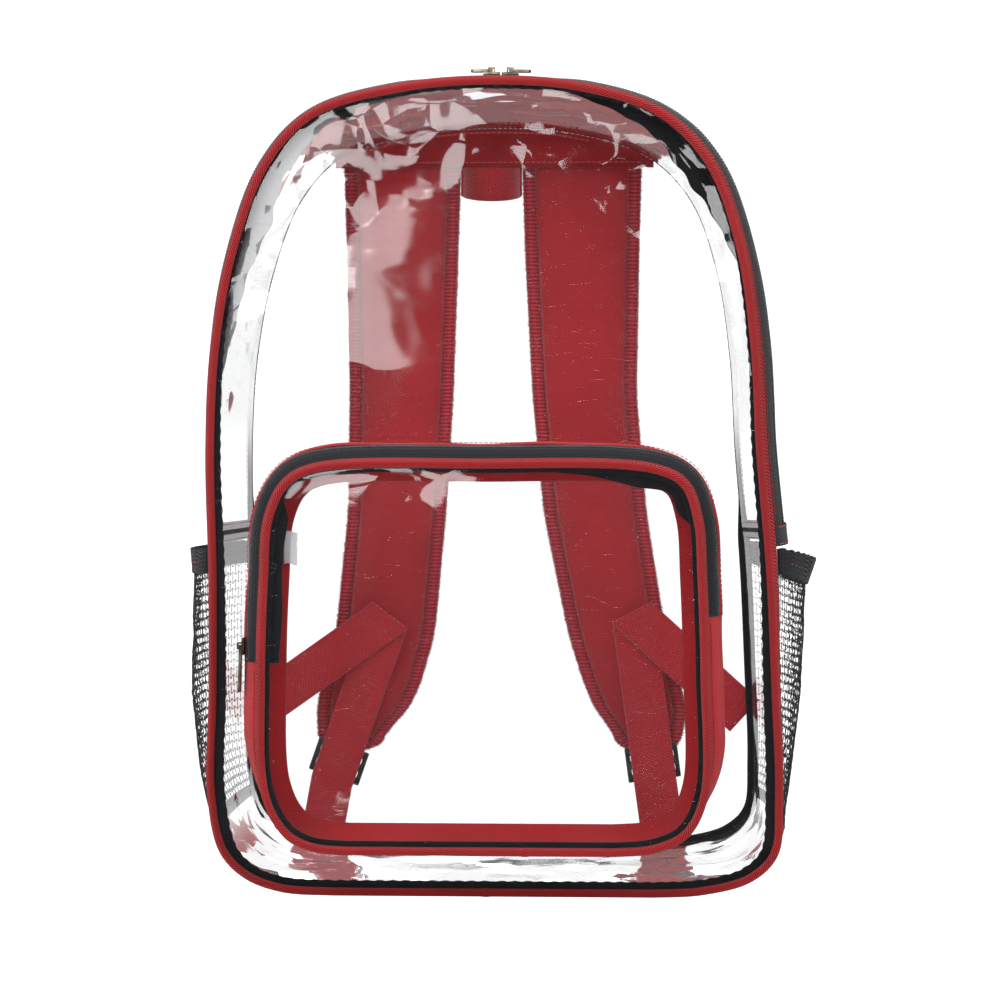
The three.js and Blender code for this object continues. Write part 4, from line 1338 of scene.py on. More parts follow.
        rear, leg = lay.back_rear + CLEARANCE, lay.rear_leg
        flange = lay.rim - lay.rear_flange
        corners = [
            (lay.piping, leg),
            (lay.piping, rear + lay.cloth),
            (flange, rear + lay.cloth),
            (flange, rear),
            (CLEARANCE, rear),
            (CLEARANCE, leg),
        ]
        section = divided(rounded(corners, 0.0008, 3), 0.003)

        def fine(share: Array, out: Array, back: Array) -> tuple[Array, Array]:
            """Narrows the binding towards the arch."""
            point, _ = seam.frame(share)
            high = smoothstep(0.42, 0.5, point[:, 1] / lay.height)
            out = np.where(out < 0, out * (0.6 - 0.45 * high), out * (1 - 0.4 * high))
            return out, np.where(back < rear - 0.001, back + (rear - back - 0.0015) * 0.6 * high, back)

        bm = seam.sweep(0, 1, section, 0.003, fine)
        dressed(bm, "rear_binding_band", self.palette.binding, "black_binding", "rear_binding")

        round_ = np.linspace(0, 1, 1600)
        rows = [
            seam.at(round_, lay.piping + THREAD_LIFT, rear - 0.0006),
            seam.at(round_, -0.0008, rear + lay.cloth + THREAD_LIFT),
        ]
        Stitching().along(rows, "rear_binding_stitches", self.palette.red_thread)

        for side in Side:
            middle = seam.rise(lay.zip_end, side)
            half = lay.cross_binding / 2 / seam.length
            out = CLEARANCE + lay.cloth
            section = strip_section(out, lay.cloth, lay.gusset_front, leg - CLEARANCE, 0.003)
            bm = seam.sweep(middle - half, middle + half, section, 0.002)
            name, node = f"cross_binding_band_{side.word}", f"cross_binding_{side.word}"
            dressed(bm, name, self.palette.binding, "black_binding", node)
            depths = np.linspace(lay.gusset_front + 0.001, leg - 0.001, 60)
            edge = half * 0.8
            rows = [seam.at(middle + k * edge, out + THREAD_LIFT, depths) for k in (-1, 1)]
            inside = [seam.at(middle + k * edge, -0.0014, depths) for k in (-1, 1)]
            name = f"cross_binding_stitches_{side.word}"
            Stitching().along(rows + inside, name, self.palette.red_thread)

    def zip(self) -> None:
        """The main zip's tapes, stitches, coil and the finish of its sliders."""
        lay, seam = self.layout, self.layout.bag
        start = seam.rise(lay.zip_end, Side.RIGHT) + 0.001
        end = seam.rise(lay.zip_end, Side.LEFT) - 0.001
        runs = {
            "zip_tape_front": (lay.gusset_front, lay.gusset_front + lay.tape),
            "zip_tape_rear": (lay.coil_back + CLEARANCE, lay.rear_tape),
        }
        for node, (front, back) in runs.items():
            section = strip_section(0.0, lay.cloth * 0.8, front, back, 0.0025)
            bm = seam.sweep(start, end, section, self.step)
            dressed(bm, node + "_cloth", self.palette.tape, "black_binding", node)
        coil_end = lay.zip_end + lay.cross_binding / 2 + CLEARANCE
        first, last = seam.rise(coil_end, Side.RIGHT), seam.rise(coil_end, Side.LEFT)
        bm = Coil().run(seam, first, last, lay.coil_front + 0.0012, lay.coil_back - 0.0012)
        dressed(bm, "zip_coil_teeth", self.palette.coil, "zip_teeth", "zip_coil")
        for word, front in (("front", lay.coil_front - CLEARANCE), ("rear", lay.coil_back - 0.0016)):
            section = strip_section(-0.0002, 0.0006, front, front + 0.0019, 0.002)
            bm = seam.sweep(first, last, section, self.step)
            dressed(bm, f"zip_coil_edge_{word}", self.palette.tape, "black_binding")
        along = np.linspace(start + 0.001, end - 0.001, 1200)
        rows = [
            seam.at(along, THREAD_LIFT, back)
            for back in (lay.gusset_front + 0.0022, lay.rear_tape - 0.0022)
        ]
        Stitching().along(rows, "zip_tape_stitches", self.palette.red_thread)
        for node in ("slider_left", "slider_right", "pull_left", "pull_right"):
            nickel_plated(node, self.palette)
        self.allowance()

    def allowance(self) -> None:
        """The tape's edge that is folded in behind the piping round the arch; its left run is grey cloth
        whose grey is a painted reflection of the film's glare over the black tape.
        """
        lay, seam = self.layout, self.layout.bag
        low = ALLOWANCE[0][0] * lay.height
        right, left = seam.rise(low, Side.RIGHT), seam.rise(low, Side.LEFT)
        reflection_start = seam.crown(self.painted_reflection_edge)
        patch = seam.crown(self.patch_start)
        patch_end = patch + self.patch_length / seam.length
        front = self.fold_depth

        def folded(share: Array, out: Array, back: Array) -> tuple[Array, Array]:
            """Gives the folded edge its own width."""
            point, _ = seam.frame(share)
            up = point[:, 1] / lay.height
            width = np.where(point[:, 0] < 0, column(ALLOWANCE, up, 1), column(ALLOWANCE, up, 2))
            run = share * seam.length
            wavy = 1 + 0.06 * np.sin(run / 0.009) + 0.05 * np.sin(run / 0.0031)
            return trimmed(lay.rim, out, width, wavy), back

        def corner(share: Array, out: Array, back: Array) -> tuple[Array, Array]:
            """Gives the scrap its frayed outline."""
            near = np.minimum(share - patch, patch_end - share) / (patch_end - patch)
            middle = np.clip(near * 3, 0.1, 1)
            inner = -0.0042 - 0.0035 * np.sin((share - patch) * seam.length / 0.0022) ** 2
            frayed = inner * (0.6 + 0.4 * middle)
            return np.where(out < -0.008, -0.0085 - 0.0035 * middle, frayed), back

        tape, tape_with_painted_reflection = self.palette.tape, self.palette.tape_with_painted_reflection
        strip = strip_section(lay.rim, STRIP, front, front + 0.0007, 0.001)
        scrap = strip_section(lay.rim, STRIP, front - 0.0012, front - 0.0006, 0.001)
        # The left run carries the grey of the painted reflection; the right run and the scrap are plain
        # black tape.
        runs = (
            ("right", right, reflection_start, strip, folded, tape),
            ("left", reflection_start, left, strip, folded, tape_with_painted_reflection),
            ("patch", patch, patch_end, scrap, corner, tape),
        )
        for word, start, end, section, warp, finish in runs:
            bm = seam.sweep(start, end, section, 0.0022, warp)
            dressed(bm, f"zip_allowance_{word}", finish, "black_binding")


def nickel_plated(node: str, palette: Palette) -> None:
    """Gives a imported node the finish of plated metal.

    Args:
        node: its name.
        palette: holds the finish.
    """
    piece = packed(node)
    piece.data.materials.clear()
    piece.data.materials.append(palette.nickel)


# Front pocket


@dataclass
class FrontPocket:
    """The zipped pocket on the front: clear front, piping, zip, red walls and label."""

    layout: Layout
    palette: Palette
    piping: float = 0.0021
    tape: float = 0.007
    coil: float = 0.0024
    binding: float = 0.003
    zip_left: float = 0.096
    zip_right: float = 0.12
    puff: float = 0.004
    step: float = 0.0028
    sleeve_x: float = 0.0195
    sleeve_length: float = 0.0045
    tab_width: float = 0.009
    tab_height: float = 0.019
    right: float = field(init=False)
    left: float = field(init=False)

    def __post_init__(self) -> None:
        """Finds the shares of the seam at which the zip ends."""
        seam = self.layout.pocket
        self.right = seam.rise(self.zip_right, Side.RIGHT)
        self.left = seam.rise(self.zip_left, Side.LEFT)

    @property
    def rim(self) -> float:
        """Where the clear front ends inside the piping."""
        return -self.piping - CLEARANCE

    @property
    def front(self) -> float:
        """The depth at which the pocket's walls start."""
        return self.piping + CLEARANCE

    @property
    def coil_front(self) -> float:
        """The depth at which the coil starts."""
        return self.front + self.tape + CLEARANCE

    @property
    def coil_back(self) -> float:
        """The depth at which the coil ends."""
        return self.coil_front + self.coil

    def build(self) -> None:
        """Makes every piece of the pocket."""
        self.clear_front()
        self.rims()
        self.walls()
        self.zip()
        self.allowance()
        self.trims()

    def clear_front(self) -> None:
        """The clear sheet."""
        lay, seam = self.layout, self.layout.pocket
        centre = np.array(seam.place) + np.array((0.0, 0.0, seam.height / 2))
        crinkles = Crinkles(size=0.04, height=0.0009, seed=12.0)

        def place(around: Array, inwards: Array) -> Array:
            """A point of the sheet."""
            share = 1 - inwards**1.2
            points = centre + (seam.at(around, self.rim, 0.0) - centre) * share[:, None]
            fade = smoothstep(0, 0.05, 1 - share)
            near = 0.3 + 0.7 * smoothstep(0.55, 0.95, share)
            moved = np.abs(crinkles.shift(points, near * fade))
            sag = 0.0009 * ripple(points, 0.09, 15.0) * fade
            points[:, 1] += -self.puff * (1 - share**3) * 0.8 - moved - sag
            return points

        bm = laid(seam.steps(0, 1, self.step), 36, place, (seam.length, seam.width / 2))
        vinyl = self.palette.vinyl
        sheet = dressed(bm, "clear_pocket_front", vinyl, "clear_vinyl", "pocket_panel")
        reach = np.abs(places_of(sheet) - centre) / np.array((seam.width / 2, 1.0, seam.height / 2))
        rimward = smoothstep(0.7, 0.98, np.maximum(reach[:, 0], reach[:, 2]))
        mark(sheet, 0.12 + 0.45 * rimward)

    def rims(self) -> None:
        """The piping, its join's sleeve and the binding inside it."""
        seam = self.layout.pocket
        bm = seam.sweep(0, 1, round_section(self.piping, 16), 0.0026)
        dressed(bm, "pocket_piping_cord", self.palette.piping, "red_twill", "pocket_piping")
        bm = seam.sleeve(self.sleeve_x / seam.length, self.sleeve_length, self.piping, 0.2)
        dressed(bm, "pocket_piping_join", self.palette.piping, "red_twill")

        front = self.layout.vinyl / 2 + CLEARANCE
        back = front + self.layout.cloth
        section = strip_section(self.rim, self.binding, front, back, 0.0015, 0.0004)
        bm = seam.sweep(0, 1, section, 0.0022)
        dressed(bm, "pocket_binding_band", self.palette.binding, "black_binding", "pocket_binding")

    def walls(self) -> None:
        """The red cloth walls."""
        lay, seam = self.layout, self.layout.pocket
        wall = lay.cloth * 0.8

        def soft(share: Array, out: Array, back: Array) -> tuple[Array, Array]:
            """Lets the cloth wander in and out."""
            run = share * seam.length
            most = 0.0006 * np.sin(math.pi * np.clip(back / lay.pocket_depth, 0, 1))
            return out + most * np.sin(run / 0.011) * np.sin(run / 0.029 + 1.3), back

        section = strip_section(0.0, wall, self.front, lay.pocket_depth, 0.0022)
        bm = seam.sweep(self.left - 0.0004, 1 + self.right + 0.0004, section, self.step, soft)
        dressed(bm, "pocket_lower_wall", self.palette.pocket_cloth, "red_twill", "pocket_gusset")
        section = strip_section(0.0, wall, self.coil_back + CLEARANCE, lay.pocket_depth, 0.0022)
        bm = seam.sweep(self.right + 0.0003, self.left - 0.0003, section, self.step, soft)
        dressed(bm, "pocket_upper_wall", self.palette.pocket_cloth, "red_twill",
            "pocket_zip_facing")

    def allowance(self) -> None:
        """The zip tape's edge that shows inside the pocket's left side and top right."""
        seam = self.layout.pocket

        def folded(share: Array, out: Array, back: Array) -> tuple[Array, Array]:
            """Gives the folded edge its own width."""
            point, _ = seam.frame(share)
            up = point[:, 1] / seam.height
            left = 0.0115 * smoothstep(0.4, 0.42, up) * (1 - smoothstep(0.86, 0.97, up))
            top = np.interp(point[:, 0], (0.013, 0.033, 0.081, 0.1), (0.0, 0.006, 0.0125, 0.0115))
            width = np.where(point[:, 0] < 0, left, top * smoothstep(0.8, 0.9, up))
            wavy = 1 + 0.05 * np.sin(share * seam.length / 0.008)
            return trimmed(self.rim, out, width, wavy), back

        section = strip_section(self.rim, STRIP, self.front + 0.0018, self.front + 0.0025, 0.001)
        bm = seam.sweep(self.right + 0.03, self.left, section, 0.0022, folded)
        dressed(bm, "pocket_zip_allowance", self.palette.tape, "black_binding")

    def zip(self) -> None:
        """The zip's tape, coil, stitches and the finish of its slider."""
        seam = self.layout.pocket
        start, end = self.right + 0.0003, self.left - 0.0003
        section = strip_section(0.0, self.layout.cloth * 0.8, self.front, self.coil_front, 0.0022)
        bm = seam.sweep(start, end, section, self.step)
        dressed(bm, "pocket_zip_tape_cloth", self.palette.tape, "black_binding",
            "pocket_zip_tape")
        bm = Coil(pitch=0.0015, reach=0.68).run(
            seam, start, end, self.coil_front - 0.0002, self.coil_back + 0.0002
        )
        dressed(bm, "pocket_zip_teeth", self.palette.coil, "zip_teeth", "pocket_zip_coil")
        section = strip_section(-0.0002, 0.0006, self.coil_front - 0.0005, self.coil_back + 0.0005, 0.002)
        bm = seam.sweep(start, end, section, self.step)
        dressed(bm, "pocket_zip_backing", self.palette.tape, "black_binding")
        along = np.linspace(start + 0.003, end - 0.003, 900)
        rows = [seam.at(along, THREAD_LIFT, self.coil_back + 0.0022)]
        lower = np.linspace(self.left + 0.004, 1 + self.right - 0.004, 900)
        rows += [seam.at(lower, THREAD_LIFT, self.front + 0.0012)]
        thread = self.palette.dark_thread
        Stitching(0.0026, 0.0019, 0.0002).along(rows, "pocket_stitches", thread)
        for node in ("pocket_slider", "pocket_pull"):
            nickel_plated(node, self.palette)

    def trims(self) -> None:
        """The blank label inside the left and the frayed tab at the zip's right end."""
        low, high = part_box("inner_label")
        middle = (low + high) / 2

        def label(along: Array, across: Array) -> Array:
            """A point of the label."""
            curl = 0.0012 * np.sin(along * 2.4) * across
            x = low.x + (high.x - low.x) * across
            z = low.z + (high.z - low.z) * along
            return np.stack([x, middle.y + curl, z + 0.0006 * np.sin(across * 5)], axis=1)

        bm = laid(16, 8, label, (high.z - low.z, high.x - low.x))
        bmesh.ops.solidify(bm, geom=list(bm.faces), thickness=0.0002)
        dressed(bm, "blank_label", self.palette.label, "label_cloth", "inner_label")

        seam = self.layout.pocket
        share = self.right - 0.001

        def flap(along: Array, across: Array) -> Array:
            """A point of the tab."""
            fray = 0.0012 * np.sin(across * 37) * smoothstep(0.75, 1, along)
            up = share + ((along - 0.5) * self.tab_height + fray) / seam.length
            out = -0.002 - self.tab_width * across * (0.75 + 0.25 * np.sin(along * 3))
            return seam.at(up, out, self.front + 0.0035 + 0.002 * np.sin(along * 2 + across))

        bm = laid(24, 12, flap, (self.tab_height, self.tab_width))
        bmesh.ops.solidify(bm, geom=list(bm.faces), thickness=0.0006)
        dressed(bm, "pocket_seam_tab", self.palette.pocket_cloth, "red_twill")


# Side pockets


@dataclass
class NetPocket:
    """One side pocket of hexagonal net under a ribbed elastic."""

    layout: Layout
    palette: Palette
    side: Side
    bulge: float = 0.017
    cell_height: float = 0.0047
    cell_width: float = 0.0062
    yarn: float = 0.0005
    yarn_share: float = 0.32
    elastic: float = 0.009
    elastic_wall: float = 0.0022
    rib: float = 0.0017

    @property
    def droop(self) -> float:
        """How far the net's top hangs down at its outermost place."""
        return 0.0095 if self.side is Side.RIGHT else 0.001

    def build(self) -> None:
        """Makes the net, its elastic and the stitches along its foot."""
        self.net()
        self.band()
        self.foot()

    def place(self, up: Array, across: Array, out: Array) -> Array:
        """A point of the net.

        Args:
            up: share of the net's height.
            across: share from its front edge to its back edge.
            out: metres outside its inner face.

        Returns:
            One point a row.
        """
        lay, seam = self.layout, self.layout.bag
        up, across, out = np.broadcast_arrays(up, across, out)
        droop = self.droop * np.sin(math.pi * np.clip(across, 0, 1)) * smoothstep(0.5, 1.0, up)
        height = lay.net_bottom + (lay.net_top - lay.net_bottom) * up - droop
        index = 1 if self.side is Side.LEFT else 2
        bulge = self.bulge * column(NET_SHAPE, up, index)
        front = lay.gusset_front + 2 * CLEARANCE
        deep = across / 2 + (1 - np.cos(math.pi * across)) / 4
        back = front + (lay.rear_leg - CLEARANCE - front) * deep
        stand = bulge * np.sin(math.pi * np.clip(deep, 0, 1)) ** 0.5
        heights = np.linspace(0, lay.height * 0.5, 200)
        shares = np.array([seam.rise(float(h), self.side) for h in heights])
        share = np.interp(height, heights, shares)
        return seam.at(share, CLEARANCE + stand + out, back)

    def net(self) -> None:
        """The net: hexagons of yarn that the elastic gathers at the top."""
        lay = self.layout
        height = lay.net_top - lay.net_bottom
        fine = np.linspace(0, 1, 400)
        girth = self.place(0.5, fine, 0.0)
        run = run_along(girth)
        rows = round(height / self.cell_height)
        cells = round(float(run[-1]) / self.cell_width)
        bm = bmesh.new()
        bmesh.ops.create_grid(bm, x_segments=2 * cells, y_segments=rows, size=0.5)
        grid = {v: (round((v.co.x + 0.5) * 2 * cells), round((v.co.y + 0.5) * rows)) for v in bm.verts}
        spare = []
        for edge in bm.edges:
            (ax, ay), (bx, by) = (grid[v] for v in edge.verts)
            if ax == bx and 0 < ax < 2 * cells and (ax + min(ay, by)) % 2:
                spare.append(edge)
        bmesh.ops.dissolve_edges(bm, edges=spare, use_verts=False)
        ups, acrosses = [], []
        for vert in bm.verts:
            x, y = grid[vert]
            lift = 0.22 if (x + y) % 2 else -0.22
            wander = 0.16 * noise.noise(Vector((x * 0.4, y * 0.4, self.side.value)))
            inside = 0 < y < rows
            ups.append((y + (lift + wander if inside else 0)) / rows)
            acrosses.append(float(np.interp(x / (2 * cells), run / run[-1], fine)))
        points = self.place(np.array(ups), np.array(acrosses), 0.0005)
        fold = ripple(points, 0.016, 21.0 + self.side.value)
        edge = np.sin(math.pi * np.array(acrosses))
        for vert, point, deep, fade in zip(bm.verts, points, fold, edge):
            vert.co = Vector(point) - Vector((self.side.value * 0.0016 * abs(deep) * fade, 0, 0))
        net = finished(bm, f"net_yarn_{self.side.word}", self.palette.net)
        wire = net.modifiers.new("strands", "WIREFRAME")
        wire.thickness = self.yarn
        wire.offset = 0.0
        wire.use_boundary = True
        wire.use_even_offset = False
        seat(net, "black_net", f"mesh_pocket_{self.side.word}")

    def band(self) -> None:
        """The ribbed elastic that closes the net, leaning out at its top edge."""
        lay = self.layout
        height = lay.net_top - lay.net_bottom
        low = 1 - 0.004 / height
        high = 1 + (CLEARANCE + self.elastic) / height
        flare = 0.0045 if self.side is Side.RIGHT else 0.0005
        wall = self.elastic_wall * 0.7
        section = divided(rounded(SQUARE, 0.12, 3), 0.12)

        def place(along: Array, girth: Array) -> Array:
            """A point of the strip."""
            thick, up = round_girth(section, girth).T
            lean = np.sin(math.pi * along)
            ribs = 0.0004 * np.sin(along * lay.depth / self.rib * 2 * math.pi) * (up * 0.7 + 0.3)
            scallop = 0.0005 * np.sin(along * lay.depth / 0.006 * 2 * math.pi) * up
            out = wall * thick + flare * lean * up + ribs + 0.0002
            return self.place(low + (high - low) * up + scallop / height, along, out)

        bm = laid(240, len(section) - 1, place, (lay.depth, 2 * (self.elastic + wall)))
        close_ends(bm)
        name, node = f"elastic_band_{self.side.word}", f"mesh_elastic_{self.side.word}"
        dressed(bm, name, self.palette.elastic, "black_binding", node)
        along = np.linspace(0.03, 0.97, 300)
        lean = flare * np.sin(math.pi * along)
        rows = [self.place(1 + 0.0022 / height, along, wall + lean * 0.2 + 0.0006)]
        name = f"elastic_stitches_{self.side.word}"
        Stitching(0.0036, 0.0016, 0.0002).along(rows, name, self.palette.red_thread)

    def foot(self) -> None:
        """The folded hem and the stitches along the net's foot."""
        lay = self.layout
        section = divided(rounded(SQUARE, 0.2, 3), 0.25)
        tall = 0.006 / (lay.net_top - lay.net_bottom)

        def place(along: Array, girth: Array) -> Array:
            """A point of the strip."""
            thick, up = round_girth(section, girth).T
            return self.place(tall * up, along, 0.0009 * thick + THREAD_LIFT)

        bm = laid(60, len(section) - 1, place, (lay.depth, 0.014))
        close_ends(bm)
        dressed(bm, f"net_hem_{self.side.word}", self.palette.binding, "black_net")
        along = np.linspace(0.02, 0.98, 200)
        rows = [self.place(tall * 0.5, along, 0.0011)]
        name = f"net_stitches_{self.side.word}"
        Stitching().along(rows, name, self.palette.red_thread)


# Yoke, haul loop, shoulder straps and webbing


@dataclass
class Section:
    """One section of a ribbon: its middle, half its width and half its thickness."""

    centre: Vector
    across: Vector
    through: Vector


def ribbon(sections: list[Section], name: str, material: Material, node: str) -> None:
    """Makes a flat woven ribbon with soft edges through its sections.

    Args:
        sections: in order.
        name: the piece's name.
        material: its finish.
        node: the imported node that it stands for.
    """
    wide, thick = sections[0].across.length, sections[0].through.length
    corners = rounded([(-wide, -thick), (wide, -thick), (wide, thick), (-wide, thick)], thick * 0.9, 3)
    shape = divided(corners, wide / 5) / np.array((wide, thick))
    centres, acrosses, throughs = (
        np.array([getattr(s, part) for s in sections]) for part in ("centre", "across", "through")
    )
    run = run_along(centres) + np.arange(len(centres)) * TINY
    stations = np.linspace(0, 1, len(sections))

    def place(along: Array, girth: Array) -> Array:
        """A point of the ribbon."""
        corner = round_girth(shape, girth)
        middle, side, deep = (read_line(along, stations, part) for part in (centres, acrosses, throughs))
        return middle + side * corner[:, :1] + deep * corner[:, 1:]

    bm = laid(len(sections) - 1, len(shape) - 1, place, (float(run[-1]), 4 * wide))
    weave = bm.loops.layers.uv["weave"]
    for face in bm.faces:
        for loop in face.loops:
            at = loop[weave].uv.x / run[-1]
            loop[weave].uv.x = float(np.interp(at, stations, run))
    close_ends(bm)
    dressed(bm, name, material, "red_webbing", node)


def between(first: Section, second: Section, parts: int) -> list[Section]:
    """Sections from the first up to but not the second.

    Args:
        first: where they start.
        second: where they would end.
        parts: how many.

    Returns:
        The sections in order.
    """
    mixed = []
    for k in range(parts):
        t = k / parts
        mixed.append(
            Section(
                first.centre.lerp(second.centre, t),
                first.across.lerp(second.across, t),
                first.through.lerp(second.through, t),
            )
        )
    return mixed


def softened(node: str, name: str, material: Material, radius: float) -> None:
    """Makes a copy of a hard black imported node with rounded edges.

    Args:
        node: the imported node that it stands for.
        name: the piece's name.
        material: its finish.
        radius: of its edges.
    """
    bm = bmesh.new()
    bm.from_mesh(packed(node).data)
    bmesh.ops.remove_doubles(bm, verts=bm.verts, dist=1e-5)
    bmesh.ops.dissolve_limit(
        bm, angle_limit=math.radians(2), verts=bm.verts, edges=bm.edges, use_dissolve_boundaries=False
    )
    sharp = [edge for edge in bm.edges if edge.calc_face_angle(0) > math.radians(25)]
    bmesh.ops.bevel(
        bm,
        geom=sharp,
        affect="EDGES",
        offset=radius,
        offset_type="OFFSET",
        segments=3,
        profile=0.5,
        material=-1,
        clamp_overlap=True,
    )
    bmesh.ops.triangulate(bm, faces=[face for face in bm.faces if len(face.verts) > 4])
    dressed(bm, name, material, "black_plastic", node)


@dataclass
class Carrier:
    """Everything behind the back panel that carries the bag."""

    layout: Layout
    palette: Palette
    yoke_edge: float = 0.393
    yoke_end: float = 0.003
    haul_width: float = 0.022
    haul_span: float = 0.034
    haul_bow: float = 0.018
    haul_height: float = 0.388
    web_thickness: float = 0.0014

    def build(self) -> None:
        """Makes the yoke, the haul loop and both straps."""
        self.yoke()
        self.haul_loop()
        for side in Side:
            Strap(self.layout, self.palette, side).build()
            Webbing(self.layout, self.palette, side).build()

    def yoke(self) -> None:
        """The red band across the top of the back that the straps are sewn to."""
        lay, seam = self.layout, self.layout.bag
        front = lay.back_rear + CLEARANCE
        out = -0.001
        shares = np.linspace(0.3, 0.7, 800)
        arch = seam.at(shares, out, front)
        high = arch[:, 2] >= lay.shift.z + self.yoke_edge + self.yoke_end
        arch = arch[high][::-1]
        bottom = lay.shift.z + self.yoke_edge
        section = divided(rounded(SQUARE, 0.1, 2), 0.2)
        stations = np.linspace(0, 1, len(arch))

        def place(along: Array, girth: Array) -> Array:
            """A point of the band."""
            thick, up = round_girth(section, girth).T
            x, top = (np.interp(along, stations, arch[:, k]) for k in (0, 2))
            z = bottom + (top - bottom) * up
            wave = 0.0002 * np.sin(x / 0.006) * np.sin(math.pi * up)
            over = 0.0013 * (1 - smoothstep(0.005, 0.009, top - z))
            return np.stack([x, lay.shift.y + front + lay.cloth * thick + wave + over, z], axis=1)

        bm = laid(90, len(section) - 1, place, (arch[-1, 0] - arch[0, 0], 0.04))
        close_ends(bm)
        dressed(bm, "yoke_cloth", self.palette.pocket_cloth, "red_twill", "yoke")
        rows = []
        for y in (front + lay.cloth + THREAD_LIFT, front - THREAD_LIFT):
            low, top = arch.copy(), arch.copy()
            low[:, 1] = top[:, 1] = lay.shift.y + y
            low[:, 2] = bottom + 0.003
            top[:, 2] = np.maximum(arch[:, 2] - 0.0025, bottom + 0.003)
            rows += [low[12:-12], top[60:-60]]
        Stitching(0.0032, 0.0021, 0.00034).along(rows, "yoke_stitches", self.palette.pale_thread)

    def haul_loop(self) -> None:
        """The webbing loop between the straps."""
        lay = self.layout
        sections = []
        for k in range(49):
            angle = math.pi * k / 48
            x = lay.haul_shift - self.haul_span / 2 * math.cos(angle)
            y = lay.strap_plane + self.haul_bow * math.sin(angle)
            along = Vector(
                (self.haul_span / 2 * math.sin(angle), self.haul_bow * math.cos(angle), 0)
            ).normalized()
            droop = -0.0015 * math.sin(angle)
            sections.append(
                Section(
                    lay.world(x, y, self.haul_height + droop),
                    Vector((0, 0, self.haul_width / 2)),
                    Vector((-along.y, along.x, 0)) * self.web_thickness / 2,
                )
            )
        ribbon(sections, "haul_loop_webbing", self.palette.webbing, "haul_loop")


